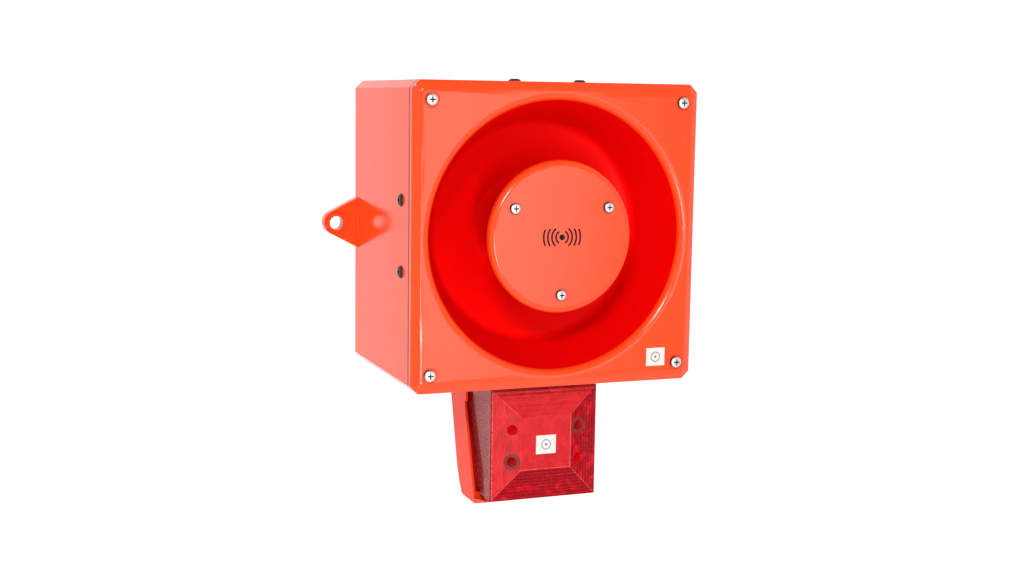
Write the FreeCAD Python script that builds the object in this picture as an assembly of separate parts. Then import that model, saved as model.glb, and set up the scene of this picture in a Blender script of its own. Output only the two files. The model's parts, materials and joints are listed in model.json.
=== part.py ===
import FreeCAD, Part
import math
import os

# A wall-mounted horn strobe.  Millimetres.  X is to the right seen from the front, +Y goes into the wall,
# +Z is up.  The origin lies on the wall face, midway between the two lug holes, so the front faces -Y.

os.makedirs("parts", exist_ok=True)
V = FreeCAD.Vector

# ---------------------------------------------------------------- modelling margins
PAST = 1.0                      # how far a cutter runs past the face it opens
BITE = 0.5                      # how far two pieces of one solid overlap before they are fused

# ---------------------------------------------------------------- box, cover and lugs
HALF = 125.0                    # half the box's width and height
CORNER_CUT = 6.5                # 45-degree cut on the depth edges
INNER_CORNER_CUT = 5.3
WALL = 4.0
BACK_WALL = 4.5
BODY_FRONT = -162.7             # front edge of the rear body's walls
GASKET = 0.6
GASKET_INSET = 0.9
COVER_REAR = BODY_FRONT - GASKET
RIM_FRONT = -168.5              # where the cover's bevel starts
FACE = -172.5                   # front face of the cover
BEVEL_RUN = 6.5
COVER_PLATE = 3.6
LIP_ROUND = 6.0                 # rounding of the mouth's edge
LIP_BACKING = 2.0
MOUTH_R = 110.5

LUG_HOLE_X = 145.0
LUG_HOLE_R = 6.0
LUG_TIP_R = 10.75
LUG_ROOT_HALF = 22.5
LUG_THICK = 9.6
LUG_BOSS_R = 9.0
LUG_BOSS_RISE = 1.5
LUG_RIB = 2.0
LUG_RIB_RISE = 2.5

# ---------------------------------------------------------------- screws of the box
HEAD_ROUND = 0.62               # crown rounding of a pan head, as a share of its height
RECESS_REACH = 0.52             # cross recess, as shares of the head's radius and height
RECESS_WIDTH = 0.24
RECESS_DEPTH = 0.6
POINT_SHARE = 0.35              # radius of a screw's point, as a share of its shank's
CORNER_SCREW_X = 110.0
CORNER_SCREW_Z = 109.5
PILLAR = 17.5                   # side of the square pillar in each corner
BOSS_R = 6.5
POST_HOLE_R = 2.8
POST_HOLE_DEPTH = 26.0
COVER_HOLE_R = 2.6
SCREW_RECESS_R = 6.2
SCREW_RECESS = 0.8
FRAME_SCREW_Y = -141.5
FRAME_SCREW_OFFSET = 29.0
FRAME_HOLE_R = 3.2
BUTTON_R = 5.25
BUTTON_SHANK_R = 3.0

# ---------------------------------------------------------------- cable entries and the strobe's nipple
ENTRY_X = 82.0
ENTRY_Y = -58.0
ENTRY_R = 10.0
ENTRY_COLLAR_R = 15.0
ENTRY_COLLAR = 7.0
ENTRY_FACE = -HALF - ENTRY_COLLAR
NIPPLE_Y = -60.0
NIPPLE_R = 8.0
NIPPLE_BORE_R = 5.5
NIPPLE_PROUD = 12.0

# ---------------------------------------------------------------- horn bowl, disc and cup
CREASE_R = 93.0                 # where the bowl's steep side meets its floor
CREASE_Y = -117.2
FLOOR_R = 50.0
FLOOR_Y = -103.0
THROAT_R = 16.0
FLOOR_THROAT_Y = -100.5
FLOOR_BACK = -97.0              # flat back of the horn's floor
BOWL_WALL = 3.0
BOWL_FLANGE = 7.0
DISC_R = 62.5
DISC_FRONT = -178.5
DISC_PLATE = 3.2
DISC_ROUND = 5.0
DISC_WALL = 2.7
DISC_REAR = -170.5
DISC_HOLE_R = 2.2
DISC_RECESS_R = 5.0
DISC_SEAT = DISC_FRONT + 0.6
DISC_SCREW_CIRCLE = 47.5
DISC_SCREW_ANGLES = (30.0, 150.0, 270.0)
DISC_SCREW_R = 2.0
DISC_BOSS_R = 5.5
CUP_R = 42.0
CUP_WALL = 2.5
CUP_FLOOR = 4.0
CUP_BOSS_REAR = -162.0
CUP_MOUTH = -118.0
CONE_R = 10.0
CONE_RISE = 10.0
LEG_ANGLES = (90.0, 210.0, 330.0)
LEG_SPAN = (33.0, 41.6)
LEG_THICK = 4.0

# ---------------------------------------------------------------- driver
DRIVER_SCREW_CIRCLE = 50.0
DRIVER_SCREW_ANGLES = (0.0, 90.0, 180.0, 240.0)
DRIVER_SCREW_R = 1.8
DRIVER_SCREW_BITE = 4.0
DRIVER_HOLE_R = 2.2
RING_STEP = -94.0
PLATE_FRONT = -86.0
MAGNET_R = 42.0
MAGNET_FRONT = -80.0
MAGNET_BACK = -66.0
PLATE_BACK = -60.0
POLE_R = 18.2
GAP_OUTER_R = 20.2
COIL_INNER_R = 18.7
COIL_OUTER_R = 19.6
COIL_TOP = -88.4
COIL_END = -79.0
FILM = 0.5
CAP_R = 54.0
CAP_WALL = 3.4
CAP_FLANGE = 4.0

# ---------------------------------------------------------------- main board and what stands on it
BOARD_FRONT = -16.0
BOARD_THICK = 1.6
BOARD_BACK = BOARD_FRONT + BOARD_THICK
BOARD_X = 86.0
BOARD_Z = (-104.0, -24.0)
BOARD_HOLE_R = 1.7
BOARD_SCREW_R = 1.5
BOARD_SCREW_X = 80.0
BOARD_SCREW_Z = (-98.0, -30.0)
STANDOFF_R = 3.5
TERMINAL_PITCH = 6.0
TERMINAL_X = [-66.0 + TERMINAL_PITCH * index for index in range(8)]
TERMINAL_Z = -90.0
TERMINAL_HALF = 6.0
TERMINAL_FRONT = BOARD_FRONT - 13.0
TERMINAL_SCREW_R = 2.3
TERMINAL_SCREW_BACK = TERMINAL_FRONT + 7.0
CORE_X = 60.0
CORE_HALF = 18.0
CORE_HEIGHT = 26.0
CORE_Z = (-72.0, -42.0)
CORE_YOKE = 6.0
CORE_POLE_HALF = 5.0
CORE_WINDOW = 7.0
CAN_PLACES = ((-62.0, -54.0), (-40.0, -54.0))
CAN_R = 8.0
CAN_HEIGHT = 26.0
SINK_X = (-20.0, 18.0)
SINK_FACE_Z = -36.0
SINK_BASE = 3.0
SINK_HEIGHT = 24.0
TRANSISTOR_X = (-6.0, 4.0)
FUSE_Y = BOARD_FRONT - 5.0
FUSE_Z = -72.0
FUSE_R = 2.6
FUSE_X = (-12.0, 10.0)
CLIP_X = (-14.0, 6.0)
TONE_PITCH = 2.54
TONE_X = [4.0 + TONE_PITCH * index for index in range(4)]
TONE_Z = -92.0
TONE_FRONT = BOARD_FRONT - 6.0
TONE_SLOT = 1.6
TONE_SLOT_HALF = 2.0
TONE_DEPTH = 2.5
TONE_GAP = 0.1
TONE_PROUD = 0.9
TONE_TRAVEL = 2.0
VOLUME_X = 38.0
VOLUME_Z = -92.0
VOLUME_FRONT = BOARD_FRONT - 8.0
SHAFT_R = 3.0
SHAFT_CLEARANCE = 0.05

# ---------------------------------------------------------------- strobe housing and lens
HOUSING_X = 50.0
HOUSING_TOP = -HALF
HOUSING_CEILING = -129.0
HOUSING_WALL = 2.0
HOUSING_LEDGE = 5.0             # wall behind the seal's ledge
HOUSING_BACK = [(-42.9, HOUSING_TOP), (-68.5, -212.7), (-75.7, -226.4), (-81.3, -234.0), (-84.5, -235.1)]
HOUSING_LIP = [(-115.4, -235.1), (-141.0, -227.4), (-141.0, -226.0), (-133.4, -227.3)]
EDGE_LOW = (-113.5, -231.3)     # slanting front edge of the sides, lower end
EDGE_HIGH = (-86.0, -150.8)     # its upper end, under the collar
COLLAR_FRONT = -90.0
HOUSING_COLLAR = [(COLLAR_FRONT, EDGE_HIGH[1]), (COLLAR_FRONT, HOUSING_TOP)]
HOUSING_OUTLINE = HOUSING_BACK + HOUSING_LIP + [EDGE_LOW, EDGE_HIGH] + HOUSING_COLLAR
HOUSING_FLOOR = -226.4          # inside of the bottom, in front of the ledge
REAR_WALL_INSIDE = [(-46.4, HOUSING_CEILING), (-71.6, -211.8), (-77.2, -222.5), (-78.5, -224.0)]
LENS_POCKET_FRONT = -116.0
LENS_X = 48.0
LENS_FRONT = -147.0
LENS_TOP = -130.0
LENS_BOTTOM = -225.5
LENS_WALL = 2.8
LENS_RIM_LOW = 2.4
LENS_SIDE_REAR = [(-102.6, LENS_TOP), (-102.6, -141.0), (-132.8, -208.0), (-134.0, LENS_BOTTOM)]
BAND_FRONT = -136.0
SKIRT_X = 46.8
SKIRT_BOTTOM = -225.3
SKIRT_DEPTH = 4.0               # how far the lens reaches behind the slanting edge
SKIRT_SIDE_REAR = [(-86.0, -131.0), (-86.0, -149.5), (-117.5, -213.0), (-119.8, SKIRT_BOTTOM)]
INSERT_X = 44.6
LENS_CAVITY_X = 42.2
CAVITY_FRONT = -144.2
CAVITY_REAR = (-70.0, -95.0)    # rear of the lens's hollow, top and bottom
SEAL_THICK = 1.5
SEAL_TOP = -128.4
SEAL_FIT = 0.2
SEAL_BAND_LOW = 2.4
SEAL_BAND_HIGH = 3.1
SEAL_REACH = 13.0
PYRAMID_FRONT = -152.5
PYRAMID_HALF = 22.5
PYRAMID_Z = (-199.0, -153.5)
PYRAMID_FOOT = 0.6
WELL_X = 30.0
WELL_UPPER_Z = -164.0
WELL_LOWER_Z = -191.5
WELL_R = 4.5
WELL_TUBE_R = 6.2
WELL_BASE = 2.0
WELL_FLOOR = -121.0
BLIND_FLOOR = -138.0
RING_SPAN = (-137.0, -143.0)
RING_R = 7.6
LENS_POST_R = 5.0
LENS_POST_END = WELL_FLOOR + WELL_BASE + 0.3
LENS_SCREW_R = 1.9
LENS_POST_HOLE_R = 2.2
LENS_HOLE_R = 2.2
LENS_SCREW_BITE = 16.7

# ---------------------------------------------------------------- inside the strobe
STROBE_BOARD_Y = -98.0
STROBE_BOARD_BACK = STROBE_BOARD_Y + BOARD_THICK
STROBE_BOARD_HALF = 23.0
STROBE_BOARD_Z = (-217.0, -139.0)
STROBE_BOARD_PLACES = ((-19.0, -143.0), (19.0, -143.0), (0.0, -212.0))
STROBE_HOLE_R = 1.6
STROBE_SCREW_R = 1.2
STROBE_STANDOFF_R = 3.0
FLASH_CAP_Y = -87.0
FLASH_CAP_Z = -163.0
FLASH_CAP_HALF = 18.0
FLASH_CAP_R = 8.6
COIL_Z = -190.0
REFLECTOR_BASE = -104.0
REFLECTOR_MOUTH = -117.0
TUBE_Y = -112.0
TUBE_Z = -177.0
TUBE_HALF = 14.0
TUBE_R = 3.0
LEAD_X = (-12.0, 12.0)
LEAD_R = 0.8
LEAD_HOLE_R = 1.9

# ---------------------------------------------------------------- plain stickers
FACE_LABEL_X = (82.0, 99.2)
FACE_LABEL_Z = (-111.7, -96.4)
LENS_LABEL_X = (-9.0, 9.0)
LENS_LABEL_Z = (-186.0, -170.0)
LABEL_THICK = 0.25
MARK_X = (-20.0, 20.0)
MARK_Z = (-7.5, 7.5)
MARK_THICK = 0.2


# ---------------------------------------------------------------- shape helpers
def save(name, *solids):
    """Write the closed solids that make up one node."""
    shape = solids[0] if len(solids) == 1 else Part.makeCompound(list(solids))
    shape.exportStep("parts/" + name + ".step")


def block(x_range, y_range, z_range):
    low = [min(pair) for pair in (x_range, y_range, z_range)]
    high = [max(pair) for pair in (x_range, y_range, z_range)]
    size = [high[i] - low[i] for i in range(3)]
    return Part.makeBox(size[0], size[1], size[2], V(*low))


def rod_y(x, z, y_range, radius):
    low, high = min(y_range), max(y_range)
    return Part.makeCylinder(radius, high - low, V(x, low, z), V(0, 1, 0))


def rod_x(y, z, x_range, radius):
    low, high = min(x_range), max(x_range)
    return Part.makeCylinder(radius, high - low, V(low, y, z), V(1, 0, 0))


def rod_z(x, y, z_range, radius):
    low, high = min(z_range), max(z_range)
    return Part.makeCylinder(radius, high - low, V(x, y, low), V(0, 0, 1))


def rounded_wire(corners, place):
    """Closed wire through corners (a, b, round radius); place(a, b) gives the point in space."""
    entries = []
    exits = []
    middles = []
    count = len(corners)
    for index, (a, b, radius) in enumerate(corners):
        before = corners[index - 1]
        after = corners[(index + 1) % count]
        to_before = (before[0] - a, before[1] - b)
        to_after = (after[0] - a, after[1] - b)
        length_before = math.hypot(*to_before)
        length_after = math.hypot(*to_after)
        unit_before = (to_before[0] / length_before, to_before[1] / length_before)
        unit_after = (to_after[0] / length_after, to_after[1] / length_after)
        if radius == 0:
            entries.append(place(a, b))
            exits.append(place(a, b))
            middles.append(None)
            continue
        cosine = unit_before[0] * unit_after[0] + unit_before[1] * unit_after[1]
        half_angle = math.acos(cosine) / 2
        reach = radius / math.tan(half_angle)
        bisector = (unit_before[0] + unit_after[0], unit_before[1] + unit_after[1])
        bisector_length = math.hypot(*bisector)
        to_middle = (radius / math.sin(half_angle) - radius) / bisector_length
        entries.append(place(a + unit_before[0] * reach, b + unit_before[1] * reach))
        exits.append(place(a + unit_after[0] * reach, b + unit_after[1] * reach))
        middles.append(place(a + bisector[0] * to_middle, b + bisector[1] * to_middle))
    edges = []
    for index in range(count):
        if middles[index] is not None:
            edges.append(Part.Arc(entries[index], middles[index], exits[index]).toShape())
        start = exits[index]
        end = entries[(index + 1) % count]
        if (end - start).Length > 1e-6:
            edges.append(Part.makeLine(start, end))
    return Part.Wire(edges)


def turned(corners, x=0.0, z=0.0):
    """Solid of revolution about the line through (x, z) along Y; corners are (radius, y, round radius)."""
    wire = rounded_wire(corners, lambda a, b: V(x + a, b, z))
    return Part.Face(wire).revolve(V(x, 0, z), V(0, 1, 0), 360)


def turned_plain(points, x=0.0, z=0.0):
    return turned([(radius, y, 0) for radius, y in points], x, z)


def prism_x(points, x_range):
    """Polygon of (y, z) points stretched along X."""
    low, high = min(x_range), max(x_range)
    corners = [V(low, y, z) for y, z in points]
    return Part.Face(Part.makePolygon(corners + corners[:1])).extrude(V(high - low, 0, 0))


def prism_y(points, y_range):
    """Polygon of (x, z) points stretched along Y."""
    low, high = min(y_range), max(y_range)
    corners = [V(x, low, z) for x, z in points]
    return Part.Face(Part.makePolygon(corners + corners[:1])).extrude(V(0, high - low, 0))


def cut_square(half, cut):
    """Corners of a square with cut corners, in (x, z)."""
    return [
        (half - cut, -half), (half, cut - half), (half, half - cut), (half - cut, half),
        (cut - half, half), (-half, half - cut), (-half, cut - half), (cut - half, -half),
    ]


def loft_y(points_a, y_a, points_b, y_b):
    """Flat-sided solid between two outlines of (x, z) points at two depths."""
    wires = []
    for points, y in ((points_a, y_a), (points_b, y_b)):
        corners = [V(px, y, pz) for px, pz in points]
        wires.append(Part.makePolygon(corners + corners[:1]))
    return Part.makeLoft(wires, True, True)


def prism_z(points, z_range):
    """Polygon of (x, y) points stretched along Z."""
    low, high = min(z_range), max(z_range)
    corners = [V(x, y, low) for x, y in points]
    return Part.Face(Part.makePolygon(corners + corners[:1])).extrude(V(0, 0, high - low))


def hexagon(corner_r, a=0.0, b=0.0):
    """Corners of a regular hexagon about (a, b)."""
    turns = [math.radians(step) for step in range(0, 360, 60)]
    return [(a + corner_r * math.cos(turn), b + corner_r * math.sin(turn)) for turn in turns]


def ring_section(inner, outer, front, back):
    return [(inner, front), (outer, front), (outer, back), (inner, back)]


def rectangle(half_x, z_low, z_high):
    return [(-half_x, z_low), (half_x, z_low), (half_x, z_high), (-half_x, z_high)]


def fuse_all(shapes):
    return shapes[0].multiFuse(shapes[1:]).removeSplitter()


def cut_all(shape, cutters):
    return shape.cut(Part.makeCompound(cutters))


def bolt_circle(radius, angles):
    return [(radius * math.cos(math.radians(a)), radius * math.sin(math.radians(a))) for a in angles]


def disc_screw_places():
    return bolt_circle(DISC_SCREW_CIRCLE, DISC_SCREW_ANGLES)


def cover_screw_places():
    return [(sx * CORNER_SCREW_X, sz * CORNER_SCREW_Z) for sx in (-1, 1) for sz in (-1, 1)]


def cross_cutters(x, z, face_y, reach, width, depth):
    """Two crossed slots, cut into a screw head whose crown is at face_y."""
    span_y = (face_y - PAST, face_y + depth)
    across = block((x - reach, x + reach), span_y, (z - width / 2, z + width / 2))
    upright = block((x - width / 2, x + width / 2), span_y, (z - reach, z + reach))
    return [across, upright]


def pan_screw(x, z, seat_y, head_r, head_height, shank_r, shank_length):
    """Cross-recess pan-head screw driven towards +Y, its head resting at seat_y."""
    crown = seat_y - head_height
    point = seat_y + shank_length
    body = turned([
        (0, crown, 0), (head_r, crown, head_height * HEAD_ROUND), (head_r, seat_y, 0), (shank_r, seat_y, 0),
        (shank_r, point - shank_r, 0), (shank_r * POINT_SHARE, point, 0), (0, point, 0),
    ], x, z)
    recess = cross_cutters(x, z, crown, head_r * RECESS_REACH, head_r * RECESS_WIDTH, head_height * RECESS_DEPTH)
    return cut_all(body, recess)


# ---------------------------------------------------------------- rear body
def lug(side):
    """Wall lug at the box's mid-height: a tapering plate with a round tip, a raised ring and a root rib."""
    centre_x = side * LUG_HOLE_X
    reach = math.hypot(LUG_HOLE_X - HALF, LUG_ROOT_HALF)
    root_angle = math.atan2(LUG_ROOT_HALF, HALF - LUG_HOLE_X)
    touch_angle = root_angle - math.acos(LUG_TIP_R / reach)
    touch_x = centre_x + side * LUG_TIP_R * math.cos(touch_angle)
    touch_z = LUG_TIP_R * math.sin(touch_angle)
    root_x = side * HALF
    outline = [(root_x, -LUG_ROOT_HALF), (touch_x, -touch_z), (touch_x, touch_z), (root_x, LUG_ROOT_HALF)]
    ring_top = -LUG_THICK - LUG_BOSS_RISE
    plate = prism_y(outline, (0, -LUG_THICK))
    tip = rod_y(centre_x, 0, (0, -LUG_THICK), LUG_TIP_R)
    ring = rod_y(centre_x, 0, (0, ring_top), LUG_BOSS_R)
    rib_half = LUG_ROOT_HALF - LUG_RIB / 2
    rib = block((root_x, root_x + side * LUG_RIB), (0, -LUG_THICK - LUG_RIB_RISE), (-rib_half, rib_half))
    return fuse_all([plate, tip, ring, rib]).cut(rod_y(centre_x, 0, (PAST, ring_top - PAST), LUG_HOLE_R))


def corner_pillars():
    """Square pillars that fill the four corners and take the cover screws."""
    pillars = []
    far = HALF - WALL + BITE
    for side_x in (-1, 1):
        for side_z in (-1, 1):
            span_x = (side_x * (far - PILLAR), side_x * far)
            span_z = (side_z * (far - PILLAR), side_z * far)
            pillars.append(block(span_x, (-BACK_WALL + BITE, BODY_FRONT), span_z))
    return pillars


def entry_collars():
    """Round collars on the bottom wall around the two cable entries."""
    span_z = (ENTRY_FACE, -HALF + BITE)
    return [rod_z(side * ENTRY_X, ENTRY_Y, span_z, ENTRY_COLLAR_R) for side in (-1, 1)]


def frame_screw_cutters():
    holes = []
    for offset in (-FRAME_SCREW_OFFSET, FRAME_SCREW_OFFSET):
        holes.append(rod_z(offset, FRAME_SCREW_Y, (HALF - WALL - PAST, HALF + PAST), FRAME_HOLE_R))
        for side in (-1, 1):
            span_x = (side * (HALF - WALL - PAST), side * (HALF + PAST))
            holes.append(rod_x(FRAME_SCREW_Y, offset, span_x, FRAME_HOLE_R))
    return holes


def rear_body():
    outer = prism_y(cut_square(HALF, CORNER_CUT), (0, BODY_FRONT))
    inner = prism_y(cut_square(HALF - WALL, INNER_CORNER_CUT), (-BACK_WALL, BODY_FRONT - PAST))
    shell = outer.cut(inner)
    body = fuse_all([shell] + [pillar.common(outer) for pillar in corner_pillars()] + entry_collars())
    hole_span = (BODY_FRONT - PAST, BODY_FRONT + POST_HOLE_DEPTH)
    cutters = [rod_y(x, z, hole_span, POST_HOLE_R) for x, z in cover_screw_places()]
    entry_span = (ENTRY_FACE - PAST, -HALF + WALL + PAST)
    cutters += [rod_z(side * ENTRY_X, ENTRY_Y, entry_span, ENTRY_R) for side in (-1, 1)]
    cutters.append(rod_z(0, NIPPLE_Y, (-HALF - PAST, -HALF + WALL + PAST), NIPPLE_R))
    cutters += frame_screw_cutters()
    return cut_all(body, cutters)


def body_gasket():
    """Thin square ring between the body and the cover, set a little back from the outside."""
    outer = prism_y(cut_square(HALF - GASKET_INSET, CORNER_CUT), (BODY_FRONT, COVER_REAR))
    inner = prism_y(cut_square(HALF - WALL, INNER_CORNER_CUT), (BODY_FRONT + PAST, COVER_REAR - PAST))
    return outer.cut(inner)


def button_screw():
    """Button-head screw along +Y from its seat at the origin; its head is on the -Y side."""
    head_height = 2.2
    crown_r = 3.6
    head_edge = 0.7
    shank_end = 14.5
    point_r = 2.3
    point_end = 15.2
    socket_r = 2.25
    socket_depth = 1.9
    body = turned([
        (0, -head_height, 0), (crown_r, -head_height, 1.2), (BUTTON_R, -head_edge, 0.4), (BUTTON_R, 0, 0),
        (BUTTON_SHANK_R, 0, 0), (BUTTON_SHANK_R, shank_end, 0), (point_r, point_end, 0), (0, point_end, 0),
    ])
    socket = prism_y(hexagon(socket_r), (-head_height - PAST, -head_height + socket_depth))
    return body.cut(socket)


def frame_nut():
    """Hexagon nut on the screw above, seated against the inside of the wall."""
    corner_r = 5.77
    thick = 5.0
    nut = prism_y(hexagon(corner_r), (WALL, WALL + thick))
    return nut.cut(rod_y(0, 0, (WALL - PAST, WALL + thick + PAST), BUTTON_SHANK_R))


def placed_on_frame(shape):
    """Copies of a wall-screw shape at the two top, two left and two right places."""
    copies = []
    for offset in (-FRAME_SCREW_OFFSET, FRAME_SCREW_OFFSET):
        top = shape.copy()
        top.rotate(V(0, 0, 0), V(1, 0, 0), -90)
        top.translate(V(offset, FRAME_SCREW_Y, HALF))
        copies.append(top)
        for side in (-1, 1):
            flank = shape.copy()
            flank.rotate(V(0, 0, 0), V(0, 0, 1), side * 90)
            flank.translate(V(side * HALF, FRAME_SCREW_Y, offset))
            copies.append(flank)
    return copies


def stopping_plug():
    """Hexagon-headed plug that closes the right-hand cable entry."""
    corner_r = 13.0
    head_thick = 5.0
    plug_wall = 2.5
    shank_end = -HALF + WALL - BITE
    head = prism_z(hexagon(corner_r, ENTRY_X, ENTRY_Y), (ENTRY_FACE - head_thick, ENTRY_FACE))
    shank = rod_z(ENTRY_X, ENTRY_Y, (ENTRY_FACE - BITE, shank_end), ENTRY_R)
    hollow = rod_z(ENTRY_X, ENTRY_Y, (ENTRY_FACE, shank_end + PAST), ENTRY_R - plug_wall)
    return fuse_all([head, shank]).cut(hollow)


# ---------------------------------------------------------------- cover and horn
def front_cover():
    rim = prism_y(cut_square(HALF, CORNER_CUT), (COVER_REAR, RIM_FRONT))
    flat_half = HALF - BEVEL_RUN
    flat_cut = CORNER_CUT - BEVEL_RUN * (2 - math.sqrt(2))
    bevel = loft_y(cut_square(HALF, CORNER_CUT), RIM_FRONT, cut_square(flat_half, flat_cut), FACE)
    inside_y = FACE + COVER_PLATE
    cavity = prism_y(cut_square(HALF - WALL, INNER_CORNER_CUT), (COVER_REAR + PAST, inside_y))
    bosses = [rod_y(x, z, (COVER_REAR, inside_y - BITE), BOSS_R) for x, z in cover_screw_places()]
    lip_r = MOUTH_R + LIP_ROUND
    lip_rear = FACE + LIP_ROUND
    mouth_ring = turned_plain([
        (MOUTH_R - PAST, FACE), (lip_r + LIP_BACKING, FACE), (lip_r + LIP_BACKING, lip_rear),
        (MOUTH_R - PAST, lip_rear),
    ])
    cover = fuse_all([rim.fuse(bevel).cut(cavity), mouth_ring] + bosses)
    mouth = turned([
        (0, FACE - PAST, 0), (lip_r + PAST, FACE - PAST, 0), (lip_r + PAST, FACE, 0),
        (MOUTH_R, FACE, LIP_ROUND), (MOUTH_R, lip_rear + PAST, 0), (0, lip_rear + PAST, 0),
    ])
    cutters = [mouth]
    for x, z in cover_screw_places():
        cutters.append(rod_y(x, z, (COVER_REAR + PAST, FACE - PAST), COVER_HOLE_R))
        cutters.append(rod_y(x, z, (FACE + SCREW_RECESS, FACE - PAST), SCREW_RECESS_R))
    return cut_all(cover, cutters)


def horn_bowl():
    """Dished flare from the mouth to a shallow floor, with a glued flange behind the cover."""
    top = FACE + LIP_ROUND
    flange_r = MOUTH_R + BOWL_FLANGE
    flange_rear = top + BOWL_WALL
    bowl = turned([
        (MOUTH_R, top, 0), (CREASE_R, CREASE_Y, 9.0), (FLOOR_R, FLOOR_Y, 14.0), (THROAT_R, FLOOR_THROAT_Y, 0),
        (THROAT_R, FLOOR_BACK, 0), (CAP_R, FLOOR_BACK, 2.0), (CREASE_R + 3.4, CREASE_Y + 3.6, 10.0),
        (MOUTH_R + BOWL_WALL, flange_rear, 0), (flange_r, flange_rear, 0), (flange_r, top, 0),
    ])
    hole_span = (FLOOR_BACK + PAST, FLOOR_BACK - DRIVER_SCREW_BITE)
    holes = [rod_y(x, z, hole_span, DRIVER_SCREW_R) for x, z in driver_screw_places()]
    return cut_all(bowl, holes)


def centre_disc():
    """Round cap with a rounded edge and a short side wall, hollow behind, with three screw holes."""
    inside = DISC_FRONT + DISC_PLATE
    wall_inner = DISC_R - DISC_WALL
    cap = turned([
        (0, DISC_FRONT, 0), (DISC_R, DISC_FRONT, DISC_ROUND), (DISC_R, DISC_REAR, 0.6),
        (wall_inner, DISC_REAR, 0.6), (wall_inner, DISC_REAR - 2.0, 0.5), (wall_inner - 2.8, inside, 1.5),
        (0, inside, 0),
    ])
    holes = []
    for x, z in disc_screw_places():
        holes.append(rod_y(x, z, (DISC_FRONT - PAST, inside + PAST), DISC_HOLE_R))
        holes.append(rod_y(x, z, (DISC_FRONT - PAST, DISC_SEAT), DISC_RECESS_R))
    return cut_all(cap, holes)


def disc_screws():
    return [pan_screw(x, z, DISC_SEAT, 4.4, 2.9, DISC_SCREW_R, 14.0) for x, z in disc_screw_places()]


def cover_screws():
    return [pan_screw(x, z, FACE + SCREW_RECESS, 4.9, 3.5, 2.4, 24.0) for x, z in cover_screw_places()]


def throat_tube():
    """Flared tube that carries the sound forward from the driver."""
    foot_r = 30.0
    foot_back = -94.0
    bore_r = 12.0
    mouth_y = -150.0
    mouth_r = 20.5
    wall = 2.5
    return turned_plain([
        (bore_r, foot_back), (bore_r, FLOOR_BACK - 2.0), (mouth_r, mouth_y), (mouth_r + wall, mouth_y),
        (THROAT_R, FLOOR_BACK - 9.0), (THROAT_R, FLOOR_BACK), (foot_r, FLOOR_BACK), (foot_r, foot_back),
    ])


def inner_cup():
    """Cup behind the disc that turns the sound back into the bowl, with a cone and a screw flange."""
    back = DISC_FRONT + DISC_PLATE
    flange_r = DISC_SCREW_CIRCLE + DISC_BOSS_R
    flange_rear = back + CUP_WALL
    floor = back + CUP_FLOOR
    cup = turned([
        (0, back, 0), (flange_r, back, 0), (flange_r, flange_rear, 0.8), (CUP_R - 3.5, flange_rear, 1.5),
        (CUP_R, CUP_MOUTH, 0), (CUP_R - CUP_WALL, CUP_MOUTH, 0), (CUP_R - 7.5, floor, 2.0),
        (CONE_R, floor, 3.0), (0, floor + CONE_RISE, 0),
    ])
    bosses = [rod_y(x, z, (back + BITE, CUP_BOSS_REAR), DISC_BOSS_R) for x, z in disc_screw_places()]
    hole_span = (back - PAST, CUP_BOSS_REAR + PAST)
    holes = [rod_y(x, z, hole_span, DISC_SCREW_R) for x, z in disc_screw_places()]
    return cut_all(fuse_all([cup] + bosses), holes)


def cup_legs():
    """Three short legs that hold the cup's mouth off the horn's floor."""
    bowl = horn_bowl()
    legs = []
    for angle in LEG_ANGLES:
        leg = block(LEG_SPAN, (CUP_MOUTH, FLOOR_BACK - PAST), (-LEG_THICK / 2, LEG_THICK / 2))
        leg.rotate(V(0, 0, 0), V(0, 1, 0), -angle)
        legs.append(leg.cut(bowl))
    return legs


# ---------------------------------------------------------------- driver behind the horn
def driver_screw_places():
    return bolt_circle(DRIVER_SCREW_CIRCLE, DRIVER_SCREW_ANGLES)


def driver_ring():
    """Cast ring that clamps the diaphragm's rim between the horn's floor and the magnet."""
    seat_r = 28.0
    seat_back = COIL_TOP + 0.4
    return turned_plain([
        (31.0, FLOOR_BACK), (MAGNET_R, FLOOR_BACK), (MAGNET_R, PLATE_FRONT), (36.0, PLATE_FRONT),
        (36.0, seat_back), (seat_r, seat_back), (seat_r, RING_STEP), (31.0, RING_STEP),
    ])


def diaphragm():
    """Thin dome with a flat edge."""
    rim_r = 26.6
    rim_front = COIL_TOP - FILM
    dome_r = 18.5
    shoulder_r = 9.0
    crown = rim_front - 3.7
    shoulder = rim_front - 3.5
    return turned([
        (0, crown, 0), (shoulder_r, shoulder, 8.0), (dome_r, rim_front, 3.0), (rim_r, rim_front, 0),
        (rim_r, COIL_TOP, 0), (dome_r - 0.2, COIL_TOP, 3.0), (shoulder_r, shoulder + FILM, 8.0),
        (0, crown + FILM, 0),
    ])


def voice_coil():
    return turned_plain(ring_section(COIL_INNER_R, COIL_OUTER_R, COIL_TOP, COIL_END))


def top_plate():
    return turned_plain(ring_section(GAP_OUTER_R, MAGNET_R - 0.5, PLATE_FRONT, MAGNET_FRONT))


def magnet():
    inner_r = GAP_OUTER_R + 2.3
    return turned([
        (inner_r, MAGNET_FRONT, 0.5), (MAGNET_R, MAGNET_FRONT, 1.0), (MAGNET_R, MAGNET_BACK, 1.0),
        (inner_r, MAGNET_BACK, 0.5),
    ])


def back_plate():
    """Steel disc with the pole that stands inside the voice coil."""
    plate_r = MAGNET_R - 0.5
    pole_end = PLATE_FRONT - 0.4
    return turned_plain([
        (0, pole_end), (POLE_R, pole_end), (POLE_R, MAGNET_BACK), (plate_r, MAGNET_BACK),
        (plate_r, PLATE_BACK), (0, PLATE_BACK),
    ])


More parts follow.
